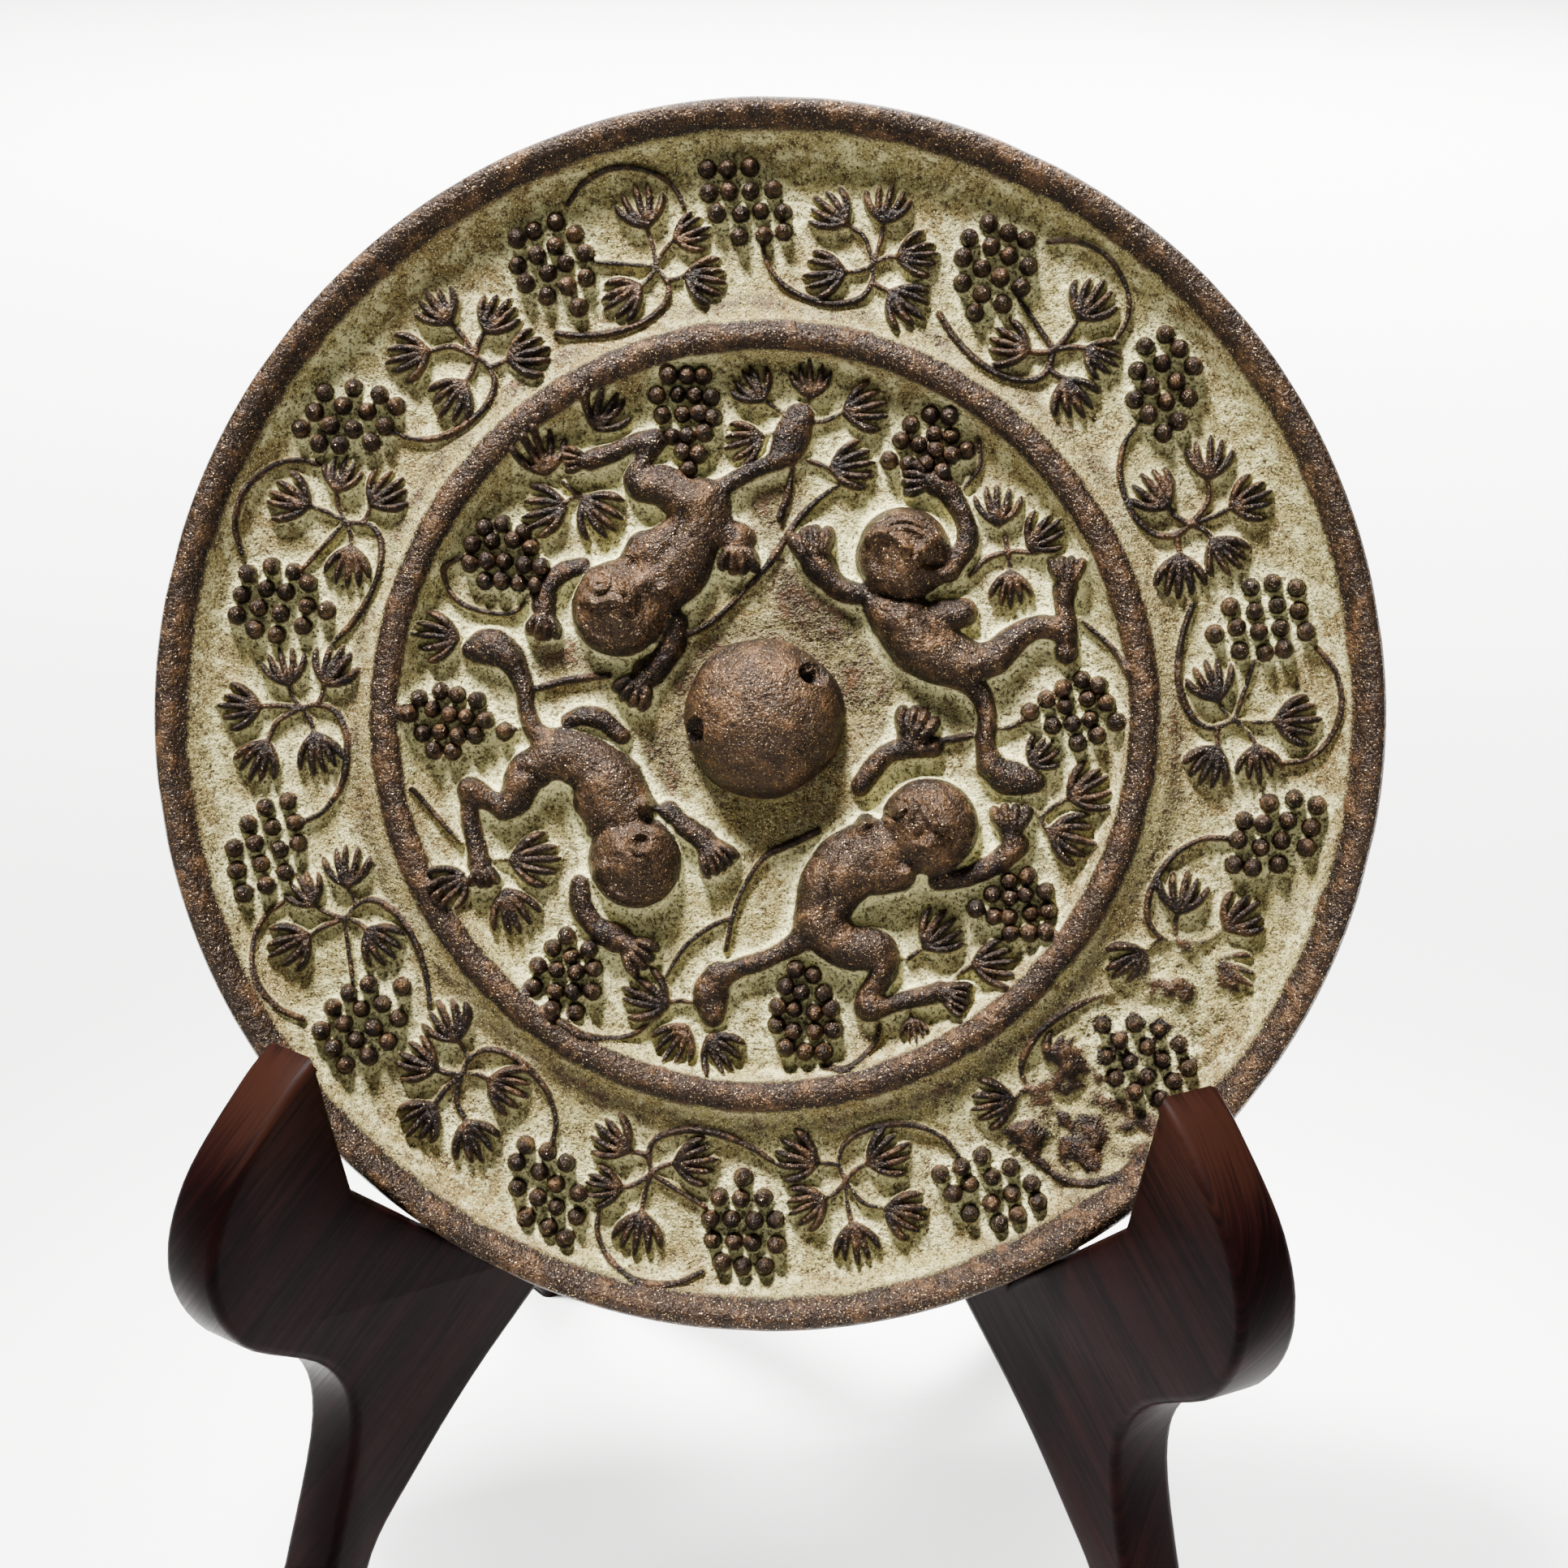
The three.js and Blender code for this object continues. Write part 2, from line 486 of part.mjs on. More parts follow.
// One board's outline: s along the board from the crossing, positive to the rear, and z up from the ground.
function boardOutline() {
  const f = seatPlace;
  const z = SEAT_HEIGHT;
  const backWall = (height) => planeOnBoard(height, -FIT_GAP, 1);
  const postTop = z + POST_RISE;
  let cornerHeight = z;
  for (let i = 0; i < 20; i++) {
    cornerHeight = seatFloor(backWall(cornerHeight));
  }
  const shape = new THREE.Shape();
  shape.moveTo(f - HEEL_REACH, 0);
  shape.lineTo(f - TOE_REACH, 0);
  shape.lineTo(f - TOE_REACH, TOE_HEIGHT);
  shape.splineThru([
    [f - NECK_REACH - 4, z - NECK_DROP - 15],
    [f - NECK_REACH, z - NECK_DROP],
    [f - NECK_REACH - 2.8, z - NECK_DROP + 8],
    [f - NOSE_REACH + 4, z - NOSE_DROP],
    [f - NOSE_REACH, z + 2.5],
    [f - NOSE_REACH + 2.2, z + HOOK_RISE / 2],
    [f - HOOK_REACH - 4, z + HOOK_RISE - 3],
    [f - HOOK_REACH, z + HOOK_RISE],
  ].map(([x, y]) => new THREE.Vector2(x, y)));
  const wallFoot = f - HOOK_REACH + 4.5;
  shape.lineTo(wallFoot, seatFloor(wallFoot) + 1);
  shape.lineTo(backWall(cornerHeight), cornerHeight);
  shape.lineTo(backWall(postTop - POST_WIDTH / 2), postTop - POST_WIDTH / 2);
  const postFront = backWall(postTop - POST_WIDTH / 2);
  shape.splineThru([
    [postFront + POST_WIDTH / 2, postTop],
    [postFront + POST_WIDTH, postTop - POST_WIDTH / 2],
    [postFront + POST_WIDTH + 3, z + POST_RISE / 2],
    [SHOULDER_REACH, z + SHOULDER_DROP],
    [(BACK_TOE + SHOULDER_REACH) / 2, z - SHOULDER_DROP],
    [BACK_NECK_OUTSIDE, z - NECK_DROP - 5],
    [BACK_NECK_OUTSIDE + 2.5, z / 4],
    [BACK_TOE, TOE_HEIGHT],
  ].map(([x, y]) => new THREE.Vector2(x, y)));
  shape.lineTo(BACK_TOE, 0);
  shape.lineTo(BACK_HEEL, 0);
  shape.splineThru([
    [BACK_NECK_INSIDE + 4, z / 4],
    [BACK_NECK_INSIDE - 2, z - NECK_DROP - 3],
    [(BACK_NECK_INSIDE - 2) / 2, z - 5],
    [0, z + ARCH_RISE],
    [f / 2, z - 4],
    [f + 9, z - 15.5],
    [f - 2.9, z - 26],
    [f - HEEL_REACH + 0.6, z - ARCH_HEEL_DROP],
    [f - HEEL_REACH, 0],
  ].map(([x, y]) => new THREE.Vector2(x, y)));
  return shape;
}

// One board, stood upright and turned by its splay. Turn is 1 for the board whose hook is on the left.
function boardSolid(turn) {
  const geometry = new THREE.ExtrudeGeometry(boardOutline(), {
    depth: BOARD_THICKNESS - 2 * EDGE_ROUND,
    curveSegments: 2,
    bevelThickness: EDGE_ROUND,
    bevelSize: EDGE_ROUND,
    bevelOffset: -EDGE_ROUND,
    bevelSegments: 1,
  });
  geometry.translate(0, 0, EDGE_ROUND - BOARD_THICKNESS / 2);
  geometry.rotateX(Math.PI / 2);
  geometry.rotateZ(Math.PI / 2 - turn * SPLAY);
  return solidOf(geometry);
}

// The halving: each board loses the half of its height that the other one passes through.
function halving(turn, upper) {
  const crossing = 2 * SPLAY;
  const width = (BOARD_THICKNESS * (1 + Math.abs(Math.cos(crossing)))) / Math.sin(crossing) + 2 * FIT_GAP;
  const middle = SEAT_HEIGHT + HALVING_RISE;
  const reach = 2 * (POST_RISE + SEAT_HEIGHT);
  const box = new THREE.BoxGeometry(width, 2 * BOARD_THICKNESS, reach);
  box.translate(0, 0, middle + (upper ? 1 : -1) * (reach / 2 - FIT_GAP / 2));
  box.rotateZ(Math.PI / 2 - turn * SPLAY);
  return solidOf(box);
}

function boardGeometry(turn, upper) {
  return geometryOf(boardSolid(turn).subtract(halving(turn, upper)).subtract(mirrorClearance()));
}

function part(name, geometry, material) {
  const mesh = new THREE.Mesh(geometry, material);
  mesh.name = name;
  return mesh;
}

const mirror = part('mirror', mirrorGeometry(), BRONZE);
mirror.rotation.x = Math.PI / 2 - LEAN;
mirror.position.copy(mirrorBack);

const cradle = new THREE.Group();
cradle.add(mirror);
cradle.add(part('stand_board_left', boardGeometry(1, true), WOOD));
cradle.add(part('stand_board_right', boardGeometry(-1, false), WOOD));

cradle.updateMatrixWorld(true);
const reach = new THREE.Box3().setFromObject(cradle, true);
cradle.position.y = -(reach.min.y + reach.max.y) / 2;

const object = new THREE.Group();
object.add(cradle);
export default object;
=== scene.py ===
"""A cast bronze mirror of the lion and grapevine kind, leaning in a cradle of two crossed boards.

The carved side carries its fine relief as mesh: beasts, leaves and stems are worked out on a raster of
heights in millimetres, grapes are placed by Geometry Nodes, and the pierced knob is cut by a boolean.
"""

import functools
import math

import bmesh
import bpy
import numpy as np
from bpy.props import FloatProperty, FloatVectorProperty, IntProperty, PointerProperty
from mathutils import Matrix, Vector


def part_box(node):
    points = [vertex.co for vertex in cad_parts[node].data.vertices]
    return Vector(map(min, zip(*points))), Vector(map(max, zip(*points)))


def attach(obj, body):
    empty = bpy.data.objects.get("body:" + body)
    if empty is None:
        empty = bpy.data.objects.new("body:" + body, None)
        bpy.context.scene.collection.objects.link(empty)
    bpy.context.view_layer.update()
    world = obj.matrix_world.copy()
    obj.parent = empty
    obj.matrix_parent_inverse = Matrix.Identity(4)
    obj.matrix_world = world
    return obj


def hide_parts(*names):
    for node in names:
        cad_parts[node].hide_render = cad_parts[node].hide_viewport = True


bl_info = {
    "name": "Bronze Mirror on a Crossed-Board Cradle",
    "version": (1, 0, 0),
    "blender": (4, 5, 0),
    "location": "3D View > Sidebar > Bronze Mirror",
    "description": "Builds an old cast bronze mirror, its wooden cradle and a plain studio around them",
    "category": "Object",
}

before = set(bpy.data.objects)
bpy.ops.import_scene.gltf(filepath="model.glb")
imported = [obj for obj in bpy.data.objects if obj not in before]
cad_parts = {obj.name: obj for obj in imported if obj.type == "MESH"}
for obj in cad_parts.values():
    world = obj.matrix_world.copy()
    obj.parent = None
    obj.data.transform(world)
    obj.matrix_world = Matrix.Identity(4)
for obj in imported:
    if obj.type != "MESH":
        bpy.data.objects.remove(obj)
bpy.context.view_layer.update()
MM = 0.001


def linear(hex_colour):
    """An sRGB hex colour as the linear values that nodes use."""
    channels = [int(hex_colour[i : i + 2], 16) / 255 for i in (1, 3, 5)]
    return [c / 12.92 if c <= 0.04045 else ((c + 0.055) / 1.055) ** 2.4 for c in channels]


def length(label, default):
    """A size in millimetres that a user may change."""
    return FloatProperty(
        name=label, description=f"{label} in millimetres", default=default, min=0, max=300)


def colour(label, hex_colour):
    """A colour that a user may change, given in sRGB."""
    return FloatVectorProperty(
        name=label, description=f"Colour of the {label.lower()}", subtype="COLOR", size=3, min=0, max=1,
        default=linear(hex_colour),
    )


class BronzeMirrorSizes(bpy.types.PropertyGroup):
    """Sizes of the casting, in millimetres."""

    radius: length("Mirror radius", 60)
    lean: FloatProperty(
        name="Lean", description="How far the mirror leans back", subtype="ANGLE", default=math.radians(18))
    rim_height: length("Rim height", 9)
    ring_radius: length("Ring radius", 37.2)
    outer_field: length("Outer field height", 5)
    inner_field: length("Inner field height", 4.2)
    knob_radius: length("Knob radius", 7.9)
    knob_rise: length("Knob rise", 6.6)
    hole_radius: length("Cord hole radius", 1.38)
    berry_radius: length("Grape radius", 0.86)
    berry_rise: length("Grape rise", 2.15)
    leaf_rise: length("Leaf rise", 1.25)
    stem_width: length("Stem width", 0.8)
    stem_rise: length("Stem rise", 0.75)
    rings: IntProperty(
        name="Rings", description="Rings of the casting's first mesh", default=290, min=40, max=400)
    faces: IntProperty(
        name="Triangles", description="Triangles kept in the casting", default=188000, min=20000)


class BronzeMirrorColours(bpy.types.PropertyGroup):
    """Colours of the old bronze."""

    skin: colour("Brown skin", "#2C1B0E")
    deep: colour("Dark skin", "#100805")
    # Worn metal lightens what stands proud: partly wear, partly a painted highlight on the tops.
    worn: colour("Worn metal and painted highlight", "#7A5A3A")
    patina: colour("Verdigris", "#857A4B")
    pale: colour("Pale verdigris", "#E1DA9E")
    earth: colour("Yellow earth", "#6E5C36")
    # Partly rubbed metal, partly painted glint: the colour of the bright specks on the skin.
    glint: colour("Rubbed metal and painted glint", "#D2B17C")
    tarnish: colour("Tarnished mirror face", "#45422F")


class CradleSizes(bpy.types.PropertyGroup):
    """Sizes of the two boards, in millimetres."""

    thickness: length("Board thickness", 7)
    splay: FloatProperty(
        name="Splay", description="Turn of each board from straight back", subtype="ANGLE",
        default=math.radians(37))
    seat_half_span: length("Half the distance between the seats", 32.7)
    seat_height: length("Seat height", 48)
    edge_round: length("Edge rounding", 1.0)
    halving_rise: length("Halving rise", 15)
    fit_gap: length("Fit gap", 0.3)


class CradleColours(bpy.types.PropertyGroup):
    """Colours of the lacquered wood."""

    dark: colour("Dark grain", "#080303")
    red: colour("Red grain", "#170707")
    worn: colour("Worn edge", "#24120C")


# The layout of the relief, seen from the front: u to the right and v up from the mirror's middle, in mm.
# A head is [u, v, radius, rise]. Flesh is bodies, limbs and tails, each a row of stations
# [u, v, half width, rise above the field]. A paw is [u, v, bearing, size, toes].
# Details are ridges and hollows of the face, mane and flanks, each with its width and its height at the end:
# bump [u, v], ring [u, v, radius], arc [u, v, radius, first angle, last angle] and line [points].
BEASTS = [
    {
        "head": [-14.6, 9.9, 4.9, 4.6],
        "flesh": [
            [
                [-11.3, 12.3, 3.2, 3.3], [-9.6, 14.6, 3.5, 3.6], [-7.9, 17.2, 2.9, 3.2],
                [-6.9, 20.1, 2.7, 3.1],
            ],
            [[-12.5, 15.7, 1.7, 2.6], [-10.7, 15.9, 1.9, 3]],
            [
                [-8.1, 20.2, 2.3, 2.8], [-10.7, 22, 2, 2.7], [-13.1, 22.2, 1.6, 2.4],
                [-13.1, 23.9, 1.1, 1.9], [-12.3, 25.7, 1.1, 1.8],
            ],
            [[-12, 26.5, 1.15, 2], [-13.5, 26.2, 1, 1.8], [-15.7, 25.2, 0.9, 1.7], [-18.3, 24.3, 1, 1.7]],
            [[-6.4, 20.1, 1.6, 2.4], [-5.2, 18.3, 1.5, 2.1], [-3.5, 16.9, 1.6, 1.9]],
            [
                [-6.4, 20.9, 1.2, 2.3], [-4.1, 22.7, 0.85, 1.7], [-2.2, 23.8, 0.8, 1.6],
                [0.2, 24.8, 0.85, 1.6],
            ],
            [[0.4, 25, 1, 1.6], [1.3, 26.6, 1.8, 1.9], [2.1, 29, 1.5, 1.7]],
            [
                [-18.5, 13.8, 0.9, 1.6], [-20.5, 13.2, 1, 1.6], [-21.8, 11.7, 1, 1.6],
                [-22.2, 9.9, 1.3, 1.6],
            ],
            [
                [-9.2, 8.8, 1.1, 1.7], [-9.3, 6.8, 1.1, 1.7], [-10.5, 4.9, 1.2, 1.7],
                [-11.8, 3.6, 1.5, 1.7],
            ],
        ],
        "paws": [
            [-3.2, 16.2, 270, 2.1, 4], [-22.1, 8.8, 264, 1.8, 4], [-12.4, 2.7, 237, 2.1, 4],
            [-19.1, 24.2, 177, 1.4, 4],
        ],
        "details": [
            ["ring", -16.4, 12.3, 0.95, 0.25, 0.4], ["bump", -16.6, 12.2, 0.35, 0.4],
            ["line", [[-17.9, 12.8], [-17.0, 13.8], [-15.5, 13.6], [-14.4, 12.5], [-14.0, 11.2]], 0.28, 0.45],
            ["line", [[-15.9, 14.2], [-14.3, 13.5], [-13.2, 12.2], [-12.9, 10.8]], 0.25, 0.35],
            ["bump", -14.4, 14.9, 1.0, 1.2], ["bump", -14.5, 14.7, 0.42, -0.5],
            ["line", [[-18.3, 10.4], [-16.6, 10.0], [-15.1, 10.5], [-13.6, 10.2]], 0.35, 0.4],
            ["bump", -12.0, 12.5, 0.9, 0.5], ["bump", -10.3, 11.7, 0.8, 0.6],
            ["bump", -9.4, 11.3, 0.3, -0.4], ["arc", -15.4, 9.7, 3.92, 170, 320, 0.25, 0.3],
            ["arc", -15.4, 9.7, 3.22, 180, 300, 0.25, 0.3],
            ["line", [[-11.0, 14.2], [-9.3, 16.8], [-8.4, 19.6]], 0.5, -0.3],
            ["bump", -12.2, 9.6, 1.3, -0.35],
            ["line", [[-18.2, 11.5], [-17.8, 10.8], [-17.0, 10.4]], 0.3, 0.25],
        ],
    },
    {
        "head": [-12.2, -14.8, 4.75, 4.5],
        "flesh": [
            [
                [-13.6, -10.4, 2.9, 3.3], [-14.9, -7.9, 3.1, 3.5], [-17.1, -5.6, 2.7, 3.2],
                [-20.2, -4.5, 2.3, 2.9],
            ],
            [[-15.3, -10.5, 2, 2.8], [-16.7, -9.2, 1.7, 2.6]],
            [
                [-21, -4.1, 1.5, 2.5], [-22.7, -2.4, 1, 2], [-23.5, -0.6, 0.85, 1.7],
                [-23.9, 1.8, 0.85, 1.7], [-25.2, 4.2, 1.1, 1.8],
            ],
            [[-25.5, 4.7, 1.2, 1.7], [-27.2, 5.6, 1.75, 1.9], [-28.9, 5.2, 1.3, 1.6]],
            [
                [-21.1, -5.4, 2, 2.8], [-23.3, -6.8, 1.9, 2.7], [-24.2, -9.3, 1.5, 2.3],
                [-25.3, -10.2, 1.2, 2],
            ],
            [[-25.3, -10.1, 1.1, 1.9], [-27, -9.4, 1.05, 1.8], [-28.8, -8.5, 1.15, 1.9]],
            [
                [-28.9, -8.8, 1.05, 1.8], [-28.7, -11.4, 0.9, 1.7], [-27.9, -14.4, 1, 1.7],
                [-27.6, -15.8, 1.2, 1.7],
            ],
            [
                [-19.2, -1.4, 0.8, 1.6], [-17.7, -0.9, 1, 1.9], [-15.9, -1.3, 1, 1.9],
                [-14.2, -2.7, 0.9, 1.7],
            ],
            [[-9.1, -10, 1, 1.7], [-7.6, -11.2, 1.05, 1.7], [-5.7, -12.4, 1.2, 1.7]],
            [
                [-17.5, -17.5, 1, 1.7], [-17.4, -19.4, 1.1, 1.7], [-15.8, -21.5, 1.1, 1.7],
                [-13.6, -22.6, 1.4, 1.7],
            ],
        ],
        "paws": [
            [-4.9, -13.4, 307, 2.2, 5], [-12.3, -23.4, 322, 2.1, 4], [-27.2, -16.2, 277, 1.6, 4],
        ],
        "details": [
            ["ring", -11.3, -13.0, 0.95, 0.25, 0.4], ["bump", -11.3, -13.0, 0.4, -0.3],
            ["line", [[-12.6, -12.7], [-11.9, -11.7], [-10.6, -11.6], [-9.8, -12.3]], 0.28, 0.35],
            ["line", [
                [-14.3, -12.3], [-13.1, -14.0], [-11.7, -14.9], [-10.5, -14.2], [-9.5, -12.9]], 0.5, 0.25],
            ["bump", -11.0, -9.3, 1.0, 1.3], ["bump", -11.4, -10.0, 0.4, -0.45],
            ["bump", -16.8, -12.4, 0.7, 0.9], ["bump", -16.1, -13.1, 0.35, -0.35],
            ["bump", -15.4, -15.7, 0.8, 0.5], ["arc", -11.9, -15.5, 3.92, 215, 350, 0.25, 0.3],
            ["arc", -11.9, -15.5, 3.22, 225, 335, 0.25, 0.3],
            ["line", [[-19.2, -9.5], [-21.1, -7.1], [-23.6, -6.5]], 0.5, -0.3],
            ["bump", -12.9, -17.2, 1.2, -0.35],
        ],
    },
    {
        "head": [16.5, -10.4, 4.9, 4.6],
        "flesh": [
            [
                [12.3, -12.8, 2.9, 3.3], [9.3, -14.2, 3.2, 3.6], [7.2, -16.6, 3, 3.4],
                [6.3, -19.8, 2.5, 3.1],
            ],
            [[13.6, -15, 1.8, 2.8], [11.4, -15.5, 1.7, 2.7]],
            [
                [5.6, -20.8, 1.6, 2.5], [3.7, -22.5, 1, 1.9], [1.3, -23.8, 0.85, 1.7],
                [-1.6, -25, 0.95, 1.7], [-3.4, -25.8, 1.2, 1.7],
            ],
            [[-3.6, -25.8, 1.3, 1.7], [-4.2, -27.7, 1.7, 1.9], [-4, -29.6, 1.2, 1.6]],
            [
                [6.6, -21, 2.1, 2.9], [9.1, -22.4, 2.2, 2.9], [11.9, -22.8, 1.9, 2.6],
                [12.7, -24.5, 1.3, 2.1],
            ],
            [[12.6, -24.9, 1.2, 2], [11.6, -26.7, 1.2, 1.9], [11.3, -28.2, 1.3, 1.9]],
            [
                [11.7, -28.4, 1.1, 1.9], [13.5, -27.8, 0.9, 1.7], [15.8, -27.1, 0.85, 1.7],
                [18.2, -26.5, 1, 1.7],
            ],
            [
                [17.6, -15.4, 1.1, 1.8], [20.1, -15, 1.1, 1.8], [23.1, -13.7, 1.05, 1.8],
                [25, -11.8, 1.2, 1.8],
            ],
            [
                [9.7, -6.7, 0.9, 1.5], [10.8, -4.9, 1, 1.7], [12.1, -3.5, 0.9, 1.7], [13.9, -2.8, 1, 1.7],
                [16.5, -2.5, 0.9, 1.5],
            ],
        ],
        "paws": [
            [24.5, -10.3, 94, 2.1, 4], [14.4, -1.5, 72, 2.2, 4], [19, -26.6, 342, 1.9, 5],
        ],
        "details": [
            ["bump", 13.4, -8.9, 1.3, 0.7],
            ["line", [[12.4, -9.4], [13.4, -9.7], [14.4, -9.0]], 0.22, -0.4],
            ["line", [[12.1, -8.7], [12.7, -7.8], [13.8, -7.5], [14.8, -8.2], [14.9, -9.3]], 0.26, 0.4],
            ["line", [[14.5, -7.3], [15.5, -7.9], [16.1, -9.0], [17.0, -10.0], [18.4, -10.1]], 0.35, 0.5],
            ["bump", 16.6, -12.3, 1.3, 0.9], ["bump", 10.3, -9.9, 1.2, 1.5],
            ["bump", 10.8, -10.6, 0.42, -0.5], ["bump", 14.7, -15.0, 0.8, 0.8],
            ["arc", 17.0, -10.2, 4.13, 330, 460, 0.25, 0.25],
            ["line", [[8.6, -12.9], [7.3, -16.1], [7.1, -18.9]], 0.5, -0.3],
            ["bump", 15.8, -11.3, 0.8, -0.55], ["bump", 18.7, -11.4, 0.8, -0.35],
            ["line", [[15.8, -12.6], [16.7, -13.1], [17.7, -12.7]], 0.25, -0.35],
        ],
    },
    {
        "head": [13, 16.1, 4.8, 4.6],
        "flesh": [
            [[13.1, 10.8, 2.4, 3.2], [14, 8.8, 2.9, 3.6], [16.1, 6.9, 2.8, 3.4], [18.9, 5.8, 2.4, 3.1]],
            [[10.8, 11, 1.4, 2.4], [12, 9.7, 1.8, 2.8]],
            [[16.8, 10.2, 1.7, 2.7], [18.9, 10.6, 1.4, 2.3]],
            [
                [19.2, 4.8, 1.4, 2.5], [20.9, 2.9, 1.05, 2], [21.8, 0.6, 0.9, 1.8],
                [21.7, -1.8, 0.9, 1.8], [22.1, -3.8, 1.2, 1.8],
            ],
            [[22.3, -4.3, 1.3, 1.8], [24.3, -5.3, 1.7, 1.9], [26.5, -5.5, 1.1, 1.6]],
            [
                [20.1, 5.7, 1.9, 2.8], [22.3, 6.5, 1.6, 2.5], [24.4, 8.5, 1.3, 2.2],
                [26.5, 9.5, 1.1, 1.9], [28.7, 9.2, 1.15, 1.9],
            ],
            [[29.2, 7.2, 1.1, 1.8], [29.1, 9.2, 1, 1.8], [28.8, 11.8, 0.9, 1.7], [28.8, 13.5, 1.2, 1.7]],
            [
                [17.6, 15.1, 1.1, 1.9], [19, 17.4, 1.1, 1.8], [18.6, 20, 1, 1.8], [17.1, 22.3, 1.1, 1.8],
                [15.7, 23.2, 1.3, 1.8],
            ],
            [[9.1, 12.2, 0.9, 1.7], [7.3, 12.4, 0.95, 1.7], [5.9, 13.3, 1, 1.7], [4.8, 14.7, 1.4, 1.7]],
        ],
        "paws": [
            [4.2, 15.7, 102, 2.3, 4], [14.8, 23.5, 177, 1.9, 4], [28.9, 14.2, 92, 1.9, 4],
        ],
        "details": [
            ["arc", 13.0, 15.9, 4.06, 20, 165, 0.26, 0.45],
            ["arc", 13.0, 15.9, 3.36, 25, 160, 0.25, 0.45],
            ["arc", 13.0, 15.9, 2.66, 35, 150, 0.22, 0.35],
            ["line", [[9.4, 17.5], [10.9, 18.0], [12.4, 17.4], [13.4, 16.4]], 0.36, 0.55],
            ["bump", 13.4, 16.3, 0.5, 0.7], ["bump", 15.0, 16.4, 0.55, 0.8],
            ["bump", 14.2, 15.4, 0.45, 0.5], ["line", [[15.2, 15.1], [16.6, 15.3]], 0.4, -0.5],
            ["bump", 12.1, 13.3, 0.9, 0.4], ["bump", 17.5, 13.9, 1.0, 1.3],
            ["bump", 17.7, 13.7, 0.4, -0.45],
            ["line", [[14.3, 9.9], [17.2, 7.6], [20.1, 6.3]], 0.5, -0.3], ["bump", 10.7, 15.0, 1.1, -0.5],
            ["bump", 15.9, 15.0, 0.6, -0.35], ["bump", 13.5, 12.6, 0.9, 0.45],
            ["line", [[11.4, 12.0], [12.9, 11.7], [14.2, 11.9]], 0.3, -0.25],
        ],
    },
]

# Grapes inside the ring, bunch by bunch, as [u, v] of each grape.
INNER_GRAPES = [
    [
        [-10.8, 32.7], [-9.1, 33], [-7.4, 32.8], [-11.7, 30.8], [-10, 31.1], [-8.1, 31.1], [-6.5, 30.9],
        [-11.3, 29], [-9.5, 29], [-7.7, 29], [-6.2, 29], [-10.3, 27.1], [-8.6, 27], [-7.1, 27.2],
        [-9.2, 25.4], [-7.6, 25.3], [-8.3, 23.9],
    ],
    [
        [-28.5, 17.4], [-26.6, 17.9], [-24.8, 17.2], [-29.5, 15.5], [-27.7, 15.9], [-25.6, 16.1],
        [-23.7, 15.5], [-29.7, 13.6], [-28, 14], [-26.2, 14.1], [-24.3, 13.9], [-22.8, 13.7],
        [-28.4, 12.1], [-26.6, 12.1], [-24.9, 12.1], [-23.1, 11.9],
    ],
    [
        [-34.2, 0.4], [-32.4, 1.1], [-30.6, 0.8], [-28.7, 0.2], [-35, -1.4], [-33.1, -0.9], [-31.2, -1.1],
        [-29.4, -1.6], [-27.6, -1.5], [-33.9, -3.2], [-32.1, -2.9], [-30.2, -3.2], [-28.4, -3.3],
        [-32.6, -4.8], [-30.7, -4.9], [-25.5, -2.6],
    ],
    [
        [-18.5, -22.4], [-20.2, -23.9], [-16.4, -23.8], [-18.3, -24.5], [-21.4, -25.7], [-19.5, -25.9],
        [-17.7, -26.2], [-15.8, -25.8], [-21.5, -27.7], [-19.7, -27.9], [-17.8, -28.1], [-15.8, -27.9],
        [-19.8, -29.7], [-17.6, -29.8],
    ],
    [
        [4.1, -24.8], [5.8, -25.3], [2.9, -26.6], [4.7, -27], [6.6, -27.1], [2.2, -28.6], [4, -28.9],
        [5.9, -29], [7.6, -28.7], [2.4, -30.5], [4.2, -30.9], [6.1, -31], [8, -30.7], [3.3, -32.6],
        [5.2, -33], [7.1, -32.7],
    ],
    [
        [24.6, -15.2], [26.4, -15], [27.9, -16.1], [22.9, -16.7], [24.6, -17], [26.2, -16.8],
        [21.4, -18.2], [23.1, -18.7], [24.8, -18.8], [26.6, -18.5], [28.3, -17.9], [24.7, -20.5],
        [26.5, -20.3], [28.1, -19.9],
    ],
    [
        [26.1, 1.4], [29.1, 3.7], [30.9, 4.5], [32.6, 4], [27.6, 2.4], [29.5, 2], [31.2, 2.7],
        [33.1, 2.3], [34.2, 0.7], [28.1, 0.2], [29.9, 0.1], [31.6, 0.9], [30.7, -1.5], [32.6, -0.8],
    ],
    [
        [14.9, 29.9], [16.7, 29.6], [13.3, 28.7], [15.3, 28.1], [17.1, 27.8], [18.6, 26.7], [12.2, 27.2],
        [13.9, 26.8], [15.7, 26.3], [17.1, 25.8], [11.3, 25.5], [13, 25.1], [14.8, 24.9], [16.4, 24.4],
    ],
]

